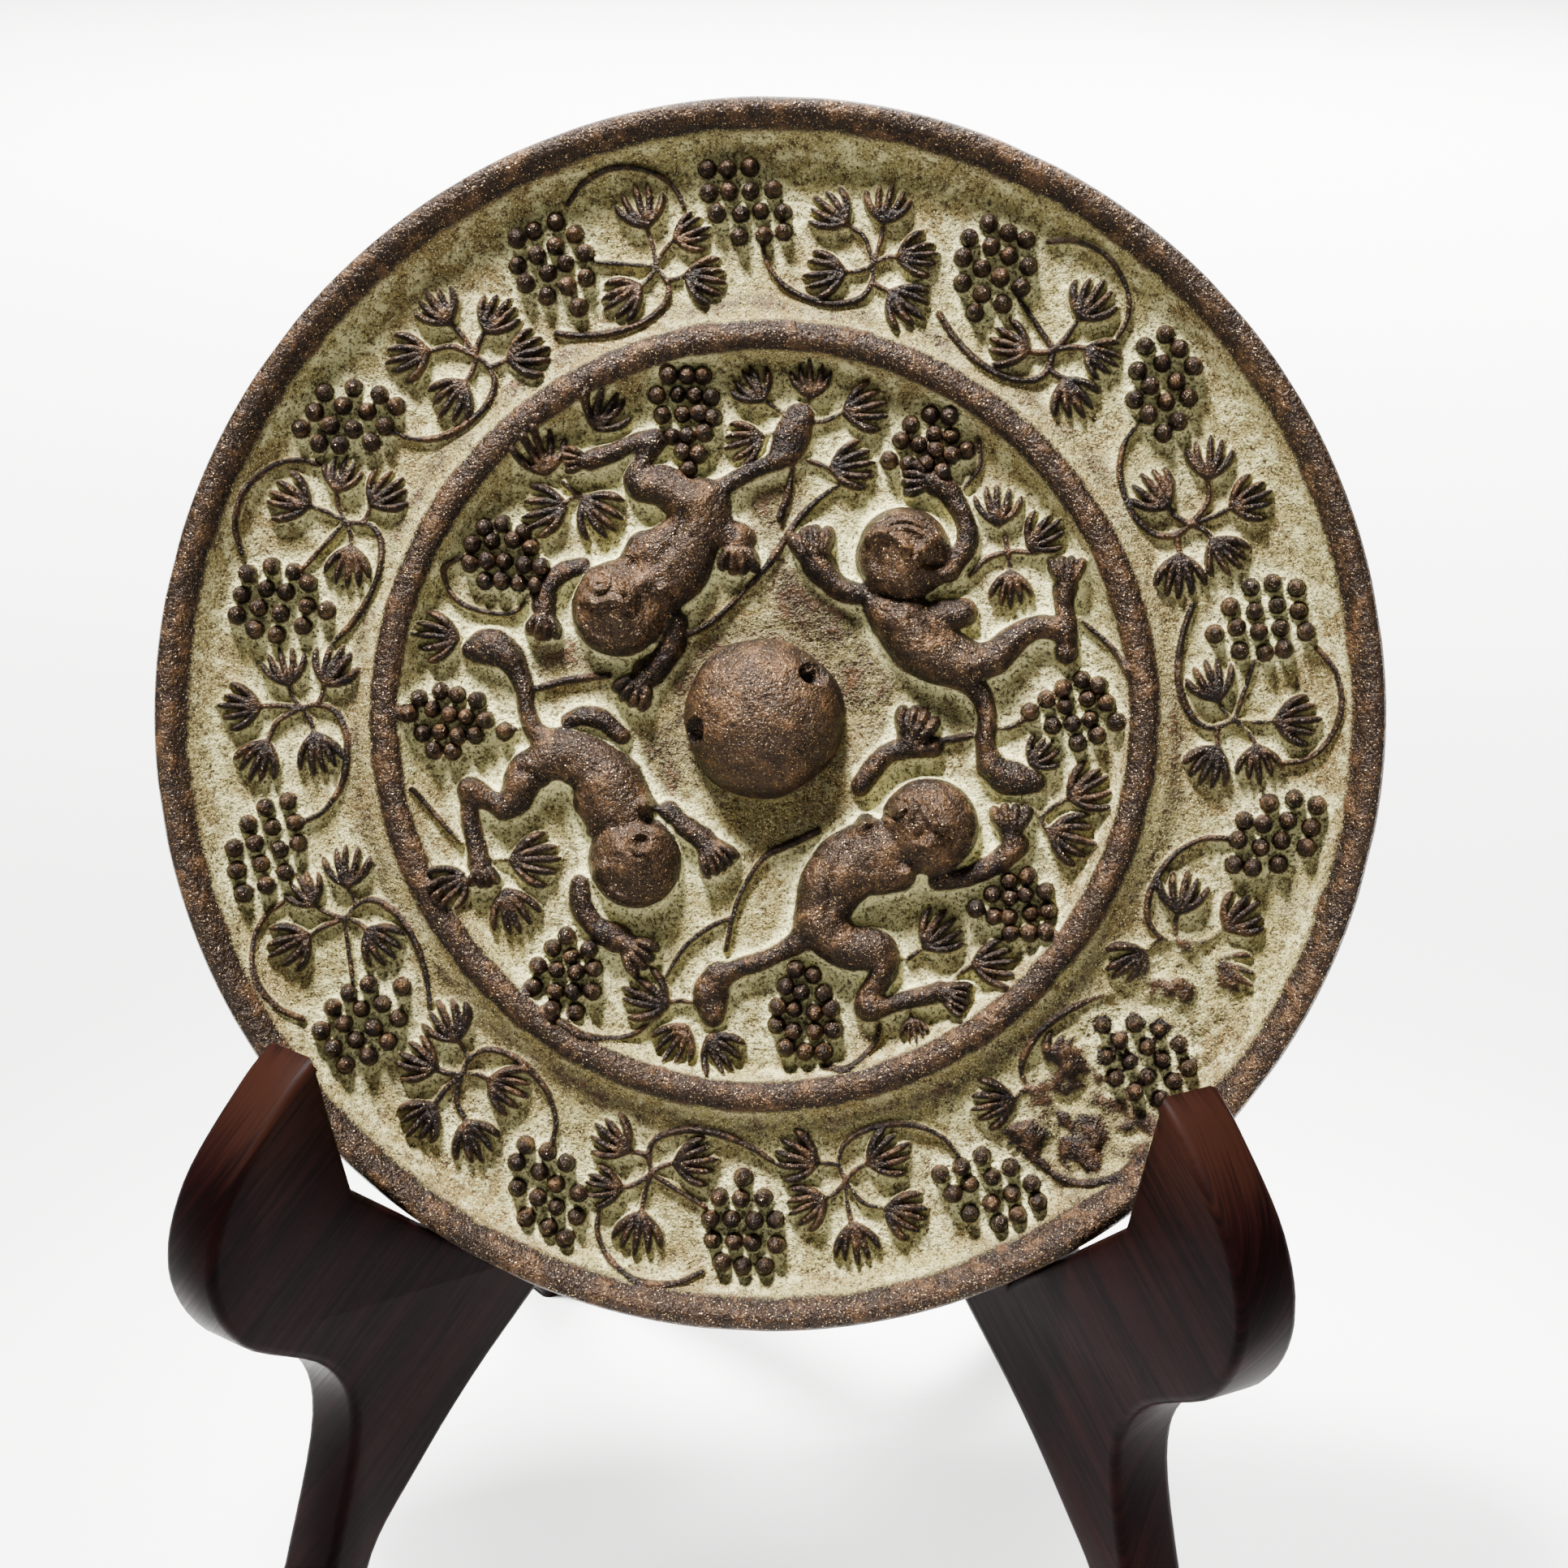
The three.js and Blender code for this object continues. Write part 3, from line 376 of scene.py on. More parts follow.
# Leaves inside the ring: [base u, base v, tip u, tip v].
INNER_LEAVES = [
    [-17.9, 27.3, -15.7, 31.2], [-22.5, 22.7, -23.7, 27.4], [-20.3, 19.7, -25.1, 18.5],
    [-18.9, 20.5, -15.1, 17.3], [-30.5, 6.4, -35.2, 6.5], [-24.6, -15.3, -19.2, -15.1],
    [-28.8, -16.9, -32.1, -19.3], [-25, -18.2, -23, -22.7], [-8.4, -28.9, -13.1, -27.1],
    [-6.5, -30.8, -8.8, -34.5], [-4.4, -31.7, -1.4, -35], [16.4, -22.2, 19.7, -18.9],
    [21.2, -23.7, 25.8, -23.2], [15.5, -29, 16.2, -31.6], [29.9, -7.1, 34.1, -4.7],
    [28.1, -10.3, 32.9, -11.5], [26, -4, 28.5, -1.4], [22, 19.2, 21.8, 23.6], [25, 17.3, 28.2, 20.1],
    [23.4, 14.9, 23.6, 11], [3.3, 31, 3.1, 35], [-1.4, 30.6, -3.9, 33.8], [6.5, 29.7, 11.1, 31],
    [-1.2, 27.2, -5.2, 25.7], [5.4, 24.2, 10.1, 25],
]

# Stems inside the ring, as [u, v] points.
INNER_STEMS = [
    [[9.3, 24], [6.3, 22.7], [2.9, 19.7], [0.1, 15.3], [-2.8, 11.7], [-5.7, 8.8], [-8.7, 7.1]],
    [[1.9, 25.5], [1.4, 21.9], [0.7, 19.4]], [[3.2, 25], [4.3, 24.7], [5.3, 24.3]],
    [[3.1, 28.8], [4.6, 28.9], [6.5, 29.8]], [[2.1, 29.4], [2.9, 30.4], [3.3, 31.2]],
    [[0.9, 29.3], [-0.5, 30.3], [-1.5, 30.8]], [[0.2, 27.5], [-0.6, 27.5], [-1.4, 27.2]],
    [[-30.3, 14.5], [-32.3, 13], [-31.1, 10.2], [-28, 9], [-25.2, 9.1], [-23.3, 11.2]],
    [[-23.1, 1.5], [-19.6, 2.6], [-15.6, 3.2]], [[-25.6, -2.6], [-24.5, -2.4]],
    [[-34.4, -8.7], [-31.8, -11.6], [-29.6, -13.8]], [[-28, -15.5], [-26.4, -15.4], [-24.5, -15.3]],
    [[-18.8, -30.7], [-16.2, -32.1], [-12.6, -32.2], [-10.2, -30.8], [-8.5, -29.2]],
    [[-8.5, -28.7], [-7.2, -28.4], [-5.8, -28.6]],
    [[-8.8, -26.2], [-7, -23.1], [-4.5, -21], [-2.5, -20.1]],
    [[5.6, -11.3], [2.2, -13], [0.2, -14.3], [-1.6, -17.4], [-2.5, -20.4], [-2.9, -23.2]],
    [[16.8, -1.9], [18.6, -1.7], [20.3, -1.3]], [[22.7, -0.6], [24.3, -0.2], [26.2, 1.2]],
    [[25.5, -7.5], [27.2, -9], [28, -10.4]], [[27.3, -9], [28.6, -7.9], [29.9, -7.1]],
    [[12.4, -29.8], [12, -31.8], [9.6, -34.1], [7.1, -34.2]],
    [[19.5, 14.3], [21.1, 16], [23.5, 16.8], [26, 16.7]], [[22.8, 18.1], [23.1, 16.6], [23.4, 15]],
    [[19.9, 27.5], [20, 25], [18.3, 22.5]], [[30.3, 10.4], [33.3, 8], [34.9, 5.6]],
    [[-20.9, 22.1], [-19.8, 21.2], [-18.3, 20.7]], [[-20.7, 19.9], [-19.8, 20.6], [-18.9, 20.5]],
    [[15.3, -28.2], [15.5, -29.2]], [[19.3, -25.5], [20.3, -24.4], [21.2, -23.8]],
    [[15, -23.3], [15.8, -22.6], [16.6, -22.1]],
]

# Outside the ring the vine repeats seven times. Bearings run clockwise from the top, in degrees.
FIRST_NODES = [11.2, 63.8, 116.6, 167.8, 217.9, 268.5, 318.7]
SECOND_NODES = [36.3, 88.6, 141.4, 191.6, 241.9, 292.3, 344]
FIRST_VINE = {
    "bunch": [-15.6, 5, 1, 2.15, 2.15, [3, 4, 4, 3]],
    "leaves": [
        [-3.8, 3.3, -8.2, 5.7], [0.1, 4, 0.2, 8.4], [2.7, 1.2, 7.5, 2.9], [3, -2.2, 8.9, -3.6],
        [-3, -1.3, -8.9, -2.1],
    ],
    "stems": [
        [
            [-13.8, 0.8], [-13, -1.4], [-10.5, -3.4], [-7, -4.4], [-3.5, -4.5], [-0.5, -3.5], [0.5, -1.7],
            [0, 0],
        ],
        [[0, 0], [-1.5, 2.3], [-3.8, 3.3]],
        [[0, 0], [0.3, 2], [0.2, 4]],
        [[0, 0], [1.4, 0.9], [2.7, 1.3]],
        [[0.4, -1.6], [1.6, -2], [3, -2.2]],
        [[0, -0.2], [-1.6, -1], [-3, -1.3]],
    ],
}
SECOND_VINE = {
    "bunch": [-11.4, 3.1, 0.15, 2.15, 2.1, [3, 4, 4, 3, 1]],
    "leaves": [
        [0, 3.8, -0.3, 8.5], [2.8, 2.1, 7.4, 3], [3.3, -1.5, 8.9, -2.9], [-2.4, -1.5, -8.1, -2.6],
    ],
    "stems": [
        [[-7, 2.2], [-3.5, 1], [0, 0]],
        [[0, 0], [0.2, 2], [0, 3.8]],
        [[0, 0], [1.4, 1.3], [2.8, 2.1]],
        [[0.7, -1.5], [2, -1.7], [3.3, -1.5]],
        [[0, -0.2], [-1.2, -1], [-2.4, -1.5]],
        [[-15, -2.6], [-12, -4], [-8, -5], [-4, -5.1], [-0.3, -4], [1, -2.3], [0, 0]],
        [[-7.5, 8.4], [-5, 9.8], [-1.5, 10.2], [2, 9], [4, 7], [4.6, 5]],
    ],
}

# A patch of the outer band where corrosion has eaten the relief: its middle's bearing and half spread in
# degrees, then its middle's radius and half width in mm.
WORN_PATCH = [131.5, 17, 49.5, 6.5]

# Where the field shows its brown skin instead of verdigris: [u, v, half length, half width, turn, strength].
BROWN_PATCHES = [
    [-0.2, -0.5, 9.5, 9.5, 0, 0.45], [4.5, 13, 9, 5, -55, 0.48], [11, 4.5, 7.5, 5.5, -50, 0.46],
    [0.5, 19, 4, 3.5, 60, 0.42], [17, 0.2, 5, 3, -40, 0.42], [-20.8, 5, 5, 4, 20, 0.45],
    [-13, 9, 9, 5, 30, 0.3], [-8.8, -4.6, 4, 6, -50, 0.5], [3.6, -10.7, 7, 2.6, 10, 0.4],
    [-7.6, 4.5, 5, 3, 20, 0.5], [33.8, -42.8, 14, 9, 40, 0.4], [50.9, -12.2, 7, 4, 80, 0.3],
    [-34.3, -39, 9, 5, -45, 0.2], [38, 14, 5, 14, 10, 0.25], [24, 36, 12, 4, -35, 0.25],
    [-24, 40, 9, 3.5, 30, 0.2],
]

# How far the ring and what it holds sit left of and below the rim's middle, in mm, and where the knob stands.
RING_SHIFT = [0.25, 0.2]
KNOB_PLACE = [-0.2, -0.4]

# The cord hole's turn in degrees, and its middle from the knob's own, in mm.
CORD_HOLE_TURN = 27.6
CORD_HOLE_SHIFT = [-0.3, 1.6]
CORD_HOLE_RISE = 3

# The knob's mesh: its rings, how far it starts below the field and how deep its foot goes, in mm.
KNOB_RINGS = 56
KNOB_SINK = 0.5
KNOB_FOOT = 1.2

# The share of a grape's rise at which its ball's middle stands, and the width of the casting's rounded edge.
GRAPE_SEAT = 0.35
EDGE_ROUND = 1

RASTER_HALF = 60.5
CELL = 0.12

# Heights of the beasts' paws above the field, and how strongly their details are cut.
PAW_RISE = 1.9
BUMP_GAIN = 1.45
PIT_GAIN = 1.2
LINE_GAIN = 1.5
RING_GAIN = 1.35

# What lays the skin bare, besides its rise in mm: a mm of hollow takes this much away, and a brown patch,
# the painted shade between grapes and a worn crest each add this much. A crest also counts as this much
# higher, for both its rubbed metal and its painted highlight.
HOLLOW_WEIGHT = 1.2
BROWN_WEIGHT = 1.5
CREST_WEIGHT = 1.7
CREST_RISE = 2.5

# The crests that hands and cloths rub, and that also get a painted highlight: the rim's outer part and the
# line on the ring's top, from radii in mm.
RIM_CREST = 56.3
RING_CREST = 37.1

# The photograph's view, in the mirror's own frame: yaw, pitch and roll in degrees off the square view on its
# face, the point of the carved side that the view is centred on, the distance from it and the lens, in mm.
CAMERA_TURN = [4.1, -0.15, 2.29]
CAMERA_AIM = [2.34, -6.79]
CAMERA_DISTANCE = 350
CAMERA_LENS = 82.82


class Heights:
    """A square raster of heights in millimetres over the carved side."""

    def __init__(self, half, cell, floor=0.0):
        self.half = half
        self.cell = cell
        count = int(round(2 * half / cell)) + 1
        axis = np.linspace(-half, half, count, dtype=np.float32)
        self.u, self.v = np.meshgrid(axis, axis)
        self.h = np.full(self.u.shape, floor, dtype=np.float32)

    def window(self, points, margin):
        """The part of the raster round some points, as two slices."""
        points = np.asarray(points, dtype=float)
        count = self.h.shape[0]
        low = np.floor((points.min(0) - margin + self.half) / self.cell).astype(int)
        high = np.ceil((points.max(0) + margin + self.half) / self.cell).astype(int) + 1
        low, high = np.clip(low, 0, count), np.clip(high, 0, count)
        return slice(low[1], high[1]), slice(low[0], high[0])

    def nearest(self, window, a, b):
        """Distance from a segment, and how far along it the nearest point lies, over a window."""
        u, v = self.u[window], self.v[window]
        du, dv = b[0] - a[0], b[1] - a[1]
        square = du * du + dv * dv
        if square == 0:
            return np.hypot(u - a[0], v - a[1]), np.zeros_like(u)
        t = np.clip(((u - a[0]) * du + (v - a[1]) * dv) / square, 0, 1)
        return np.hypot(u - a[0] - t * du, v - a[1] - t * dv), t

    def raise_path(self, stations, blend, fullness=0.6):
        """Lays a rounded form through stations of [u, v, half width, rise]."""
        window = self.window([s[:2] for s in stations], 1.6 * max(s[2] for s in stations) + 0.5)
        best = np.full(self.u[window].shape, -9, dtype=np.float32)
        for a, b in zip(stations[:-1], stations[1:]):
            distance, t = self.nearest(window, a, b)
            half_width = a[2] + (b[2] - a[2]) * t
            rise = a[3] + (b[3] - a[3]) * t
            best = np.maximum(best, rise * crown(distance / half_width, fullness))
        self.h[window] = soft_max(self.h[window], best, blend)

    def add_line(self, points, width, amount):
        """Adds a soft ridge, or a groove where the amount is negative, along points."""
        window = self.window(points, 3 * width)
        nearest = np.full(self.u[window].shape, 99, dtype=np.float32)
        for a, b in zip(points[:-1], points[1:]):
            nearest = np.minimum(nearest, self.nearest(window, a, b)[0])
        self.h[window] += amount * np.exp(-((nearest / width) ** 2))

    def sample(self, values, u, v):
        """Values on this raster's points, taken between them."""
        x = np.clip((u + self.half) / self.cell, 0, values.shape[1] - 1.001)
        y = np.clip((v + self.half) / self.cell, 0, values.shape[0] - 1.001)
        i, j = x.astype(int), y.astype(int)
        s, t = x - i, y - j
        low = values[j, i] * (1 - s) + values[j, i + 1] * s
        high = values[j + 1, i] * (1 - s) + values[j + 1, i + 1] * s
        return low * (1 - t) + high * t

    def lumps(self, spacing_mm, seed):
        """Smooth random values from -1 to 1, with lumps of a given spacing."""
        count = int(2 * self.half / spacing_mm) + 4
        grid = np.random.default_rng(seed).uniform(-1, 1, (count, count)).astype(np.float32)
        axis = np.arange(self.h.shape[0], dtype=np.float32) * self.cell / spacing_mm + 1
        i = axis.astype(int)
        t = axis - i
        t = t * t * (3 - 2 * t)
        rows = grid[i] * (1 - t)[:, None] + grid[i + 1] * t[:, None]
        return rows[:, i] * (1 - t)[None, :] + rows[:, i + 1] * t[None, :]


def crown(share, fullness=0.6):
    """The section of a rounded form: 1 on its line, 0 at its edge, and falling away beyond."""
    inside = np.clip(1 - share**2, 0, 1) ** fullness
    return np.where(share < 1, inside, 1.2 * (1 - share))


def soft_max(a, b, blend):
    """The higher of two heights, with a fillet where they meet."""
    near = np.maximum(blend - np.abs(a - b), 0) / blend
    return np.maximum(a, b) + near * near * blend / 4


def smooth(raster, radius_mm, cell):
    """A raster under a soft round brush."""
    rows = np.fft.fftfreq(raster.shape[0])[:, None]
    columns = np.fft.rfftfreq(raster.shape[1])[None, :]
    reach = (radius_mm / cell) * 2 * math.pi
    response = np.exp(-0.5 * reach**2 * (rows**2 + columns**2))
    return np.fft.irfft2(np.fft.rfft2(raster) * response, raster.shape).astype(np.float32)


def through(points, steps=4):
    """A smooth row of points through the given ones."""
    points = np.asarray(points, dtype=float)
    padded = np.vstack([2 * points[0] - points[1], points, 2 * points[-1] - points[-2]])
    result = []
    for i in range(1, len(padded) - 2):
        p0, p1, p2, p3 = padded[i - 1 : i + 3]
        for t in np.arange(steps) / steps:
            result.append(0.5 * (2 * p1 + (p2 - p0) * t + (2 * p0 - 5 * p1 + 4 * p2 - p3) * t**2
                                 + (3 * p1 - p0 - 3 * p2 + p3) * t**3))
    result.append(points[-1])
    return [list(p) for p in result]


def band_place(bearing, rise):
    """A point of the outer band from its bearing and its distance beyond the vine's nodes."""
    angle = math.radians(bearing)
    radius = 45.8 + 0.6 * math.cos(math.radians(bearing - 190)) + rise
    return [math.sin(angle) * radius, math.cos(angle) * radius]


def off_ring(u, v, radius):
    """How far outside a circle round the ring's middle points lie, in mm."""
    return np.hypot(u + RING_SHIFT[0], v + RING_SHIFT[1]) - radius


def grape_places():
    """Every grape as [u, v]."""
    places = [[u, v] for bunch in INNER_GRAPES for u, v in bunch]
    for nodes, vine in ((FIRST_NODES, FIRST_VINE), (SECOND_NODES, SECOND_VINE)):
        at, rise, shear, row_spacing, spacing, rows = vine["bunch"]
        for node in nodes:
            middle = band_place(node + at, rise)
            turn = -math.pi / 2 - math.radians(node + at)
            for row, count in enumerate(rows):
                along = (row - (len(rows) - 1) / 2) * row_spacing
                for i in range(count):
                    across = (i - (count - 1) / 2) * spacing + shear * (row - (len(rows) - 1) / 2)
                    places.append([
                        middle[0] + math.cos(turn) * along - math.sin(turn) * across,
                        middle[1] + math.sin(turn) * along + math.cos(turn) * across,
                    ])
    return np.array(places) + np.random.default_rng(7).uniform(-0.2, 0.2, (len(places), 2))


def lay_leaf(heights, leaf, rise, random):
    """One vine leaf: a cupped web with five fingers side by side, the outer ones shorter."""
    base, tip = np.array(leaf[:2]), np.array(leaf[2:])
    size = min(np.hypot(*(tip - base)), 5.4) * 0.97
    turn = math.atan2(tip[1] - base[1], tip[0] - base[0])
    along, across = np.array([math.cos(turn), math.sin(turn)]), np.array([-math.sin(turn), math.cos(turn)])
    half = min(0.43 * size, 2.1)

    def place(forward, side):
        return base + along * forward * size + across * side * half

    web = [[*place(0.08, 0), 0.14 * size, 0.8 * rise], [*place(0.3, 0), 0.3 * size, 0.75 * rise],
           [*place(0.5, 0), 0.26 * size, 0.2 * rise]]
    heights.raise_path(web, 0.4, 0.7)
    for share in (-1, -0.5, 0, 0.5, 1):
        share += random.uniform(-0.07, 0.07)
        reach = (1 - 0.3 * abs(share) ** 1.6) * random.uniform(0.95, 1.03)
        stations = []
        for forward, side, wide, high in (
                (0.06, 0.1, 0.08, 0.9), (0.28, 0.56, 0.11, 1.1), (0.55, 0.94, 0.12, 1.1), (0.8, 1.14, 0.1, 1),
                (0.97, 1.22, 0.05, 0.7)):
            stations.append([*place(forward * reach, side * share), wide * size, high * rise])
        heights.raise_path(through(stations, 2), 0.08, 0.7)


def lay_paw(heights, paw):
    """A paw: a broad pad that ends in short toes side by side."""
    u, v, bearing, size, toes = paw
    along = np.array([math.cos(math.radians(bearing)), math.sin(math.radians(bearing))])
    across = np.array([-along[1], along[0]])
    pad = [[*(np.array([u, v]) + along * size * ahead), size * wide, PAW_RISE * high]
           for ahead, wide, high in ((-0.4, 0.6, 1), (0.25, 0.8, 1), (0.7, 0.7, 0.55))]
    heights.raise_path(pad, 0.4, 0.6)
    for i in range(toes):
        share = 2 * i / (toes - 1) - 1
        stations = []
        reach = size * (1 - 0.14 * share * share)
        for ahead, aside, wide, high in ((0.2, 0.5, 0.3, 0.3), (0.7, 0.7, 0.34, 0.3), (1.02, 0.74, 0.3, 0)):
            at = [u, v] + along * reach * ahead + across * size * aside * share
            stations.append([*at, wide * size * 4 / toes, PAW_RISE + high])
        heights.raise_path(through(stations, 2), 0.1, 0.7)


def lay_beast(heights, beast):
    """A crouching beast: flesh that runs together, then its face, mane and toes."""
    flesh = Heights(heights.half, heights.cell, -4.0)
    for stations in beast["flesh"]:
        flesh.raise_path([[u, v, 1.08 * w + 0.16, h] for u, v, w, h in through(stations)], 1.3, 0.55)
    u, v, radius, rise = beast["head"]
    flesh.raise_path([[u, v, radius, rise], [u + 0.01, v, radius, rise]], 0.6, 0.5)
    low = flesh.h > -0.5
    muscle = 0.22 * flesh.lumps(2.2, 21) + 0.09 * flesh.lumps(0.9, 22)
    flesh.h = smooth(flesh.h, 0.16, heights.cell) + np.where(low, muscle, 0)
    for kind, *values in beast["details"]:
        if kind == "bump":
            cu, cv, width, amount = values
            gain = BUMP_GAIN if amount > 0 else PIT_GAIN
            flesh.add_line([[cu, cv], [cu + 0.01, cv]], width * 0.8, gain * amount)
        elif kind == "line":
            points, width, amount = values
            flesh.add_line(through(points), width, LINE_GAIN * amount)
        else:
            cu, cv, ring = values[:3]
            start, end = (0, 360) if kind == "ring" else values[3:5]
            turns = np.radians(np.linspace(start, end, 24))
            points = [[cu + ring * math.cos(a), cv + ring * math.sin(a)] for a in turns]
            flesh.add_line(points, values[-2], RING_GAIN * values[-1])
    for paw in beast["paws"]:
        lay_paw(flesh, paw)
    heights.h = soft_max(heights.h, flesh.h, 0.7)


def carve(sizes, cell):
    """The relief above the field of the whole carved side, as a raster."""
    relief = Heights(RASTER_HALF, cell)
    random = np.random.default_rng(3)
    stem = [sizes.stem_width / 2, sizes.stem_rise]
    for points in INNER_STEMS:
        relief.raise_path([[*p, *stem] for p in through(points)], 0.2, 0.8)
    for leaf in INNER_LEAVES:
        lay_leaf(relief, leaf, sizes.leaf_rise, random)
    for nodes, vine in ((FIRST_NODES, FIRST_VINE), (SECOND_NODES, SECOND_VINE)):
        for node in nodes:
            for points in vine["stems"]:
                points = [band_place(node + a, r) for a, r in points]
                relief.raise_path([[*p, *stem] for p in through(points)], 0.2, 0.8)
            for a0, r0, a1, r1 in vine["leaves"]:
                leaf = [*band_place(node + a0, r0), *band_place(node + a1, r1)]
                lay_leaf(relief, leaf, sizes.leaf_rise, random)
    for beast in BEASTS:
        lay_beast(relief, beast)
    # A low bed lies under each grape.
    for u, v in grape_places():
        radius = sizes.berry_radius * 1.15
        relief.raise_path([[u, v, radius, 1.0], [u + 0.01, v, radius, 1.0]], 0.3, 0.8)
    # In the corroded patch the relief is flatter and softer, under lumps of 1.6 and 0.8 mm.
    bearing, spread, radius, reach = WORN_PATCH
    angle = np.degrees(np.arctan2(relief.u, relief.v)) % 360
    off = ((angle - bearing) / spread) ** 2 + ((np.hypot(relief.u, relief.v) - radius) / reach) ** 2
    worn = np.clip(1.7 - off, 0, 1)
    rough = relief.lumps(1.6, 11) * 0.35 + relief.lumps(0.8, 12) * 0.2
    relief.h = relief.h * (1 - worn) + (0.62 * smooth(relief.h, 0.5, cell) + rough * 0.9) * worn
    relief.worn = worn
    # The whole casting is a little uneven, in waves of 9, 3.1 and 1.1 mm.
    relief.h += relief.lumps(9, 1) * 0.09 + relief.lumps(3.1, 2) * 0.05
    relief.h += relief.lumps(1.1, 4) * 0.03
    return relief


def inner_shift(radius):
    """How much of the ring's offset applies at a radius: all of it inside, none at the rim."""
    t = np.clip((radius - 42.2) / 14.2, 0, 1)
    return 1 - t * t * (3 - 2 * t)


def blank_height(sizes, u, v):
    """The casting's height without relief: its rim, fields and ring, and the groove round the knob."""
    share = inner_shift(np.hypot(u, v))
    radius = np.hypot(u + RING_SHIFT[0] * share, v + RING_SHIFT[1] * share)
    ring, outer, inner = sizes.ring_radius, sizes.outer_field, sizes.inner_field
    # The section from the middle out, as [radius, height] in mm, which a soft brush then rounds.
    knots = [
        [0, inner], [7.6, inner - 0.1], [8.5, inner - 0.35], [9.6, inner], [ring - 5.5, inner],
        [ring - 2.6, inner + 0.15], [ring - 1.9, inner + 1.5], [ring - 1.1, inner + 2.8], [ring, inner + 3.2],
        [ring + 1, inner + 2.9], [ring + 1.9, outer + 1.1], [ring + 3, outer + 0.75],
        [ring + 4.2, outer + 0.1], [ring + 7, outer - 0.2], [sizes.radius - 8, outer - 0.1],
        [sizes.radius - 5.2, outer + 0.35], [sizes.radius - 3.9, outer + 1.5],
        [sizes.radius - 2.6, sizes.rim_height - 0.9],
        [sizes.radius - 1.6, sizes.rim_height - 0.1], [sizes.radius, sizes.rim_height - 0.1],
    ]
    dense = np.arange(0, sizes.radius + 0.1, 0.1)
    heights = np.interp(dense, [k[0] for k in knots], [k[1] for k in knots])
    brush = np.exp(-0.5 * (np.arange(-12, 13) * 0.1 / 0.35) ** 2)
    padded = np.pad(heights, 12, mode="edge")
    heights = np.convolve(padded, brush / brush.sum(), mode="valid")
    return np.interp(radius, dense, heights)


def disc_mesh(rings, radius):
    """Points and triangles of a flat disc: ring k has 6 k points."""
    start = [0] + [1 + 3 * k * (k - 1) for k in range(1, rings + 2)]
    points, faces = [np.zeros((1, 2))], []
    for k in range(1, rings + 1):
        turn = np.arange(6 * k) * (math.pi / (3 * k))
        points.append(np.stack([np.cos(turn), np.sin(turn)], 1) * radius * k / rings)
    for k in range(rings):
        inner_count, outer_count = max(6 * k, 1), 6 * (k + 1)
        sector = np.repeat(np.arange(6), k + 1)
        i = np.tile(np.arange(k + 1), 6)
        inner = start[k] + (sector * k + i) % inner_count
        outer = start[k + 1] + (sector * (k + 1) + i) % outer_count
        outer_next = start[k + 1] + (sector * (k + 1) + i + 1) % outer_count
        faces.append(np.stack([inner, outer, outer_next], 1))
        if k:
            keep = i < k
            inner_next = start[k] + (sector * k + i + 1) % inner_count
            faces.append(np.stack([inner, outer_next, inner_next], 1)[keep])
    return np.concatenate(points), np.concatenate(faces)


def mirror_place():
    """The matrix from the casting's own [u, v, height] in millimetres to the scene, read from its solid."""
    coords = np.array([v.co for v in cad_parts["mirror"].data.vertices])
    lean = bpy.context.scene.bronze_mirror_sizes.lean
    up = np.array([0, math.sin(lean), math.cos(lean)])
    out = np.array([0, -math.cos(lean), math.sin(lean)])
    middle = [(side.min() + side.max()) / 2 for side in (coords[:, 0], coords @ up)]
    origin = np.array([1, 0, 0]) * middle[0] + up * middle[1] + out * (coords @ out).min()
    place = Matrix.Identity(4)
    for row in range(3):
        place[row][0] = MM if row == 0 else 0
        place[row][1] = up[row] * MM
        place[row][2] = out[row] * MM
        place[row][3] = origin[row]
    return place


def mesh_object(name, points, faces, smooth_shade=True):
    """A mesh object at the origin from arrays of points, in metres, and faces."""
    mesh = bpy.data.meshes.new(name)
    mesh.from_pydata([tuple(p) for p in points], [], [tuple(int(i) for i in f) for f in faces])
    mesh.update()
    piece = bpy.data.objects.new(name, mesh)
    bpy.context.collection.objects.link(piece)
    mesh.polygons.foreach_set("use_smooth", [smooth_shade] * len(mesh.polygons))
    return piece


def mesh_coords(mesh):
    """A mesh's points as an array with a row for each."""
    coords = np.empty(len(mesh.vertices) * 3)
    mesh.vertices.foreach_get("co", coords)
    return coords.reshape(-1, 3)


def apply_modifiers(piece):
    """Turns a piece and its modifiers into a plain mesh."""
    graph = bpy.context.evaluated_depsgraph_get()
    mesh = bpy.data.meshes.new_from_object(piece.evaluated_get(graph))
    piece.modifiers.clear()
    old = piece.data
    mesh.name = piece.name
    piece.data = mesh
    bpy.data.meshes.remove(old)


def settle(piece, node, material):
    """Puts a finished piece on its body, in place of its solid, with its finish."""
    piece.data.materials.clear()
    piece.data.materials.append(material)
    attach(piece, "root")
    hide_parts(node)


def store(mesh, name, values):
    """Keeps one number for each vertex, for the material to read."""
    attribute = mesh.attributes.new(name, "FLOAT", "POINT")
    attribute.data.foreach_set("value", np.asarray(values, dtype=np.float32))


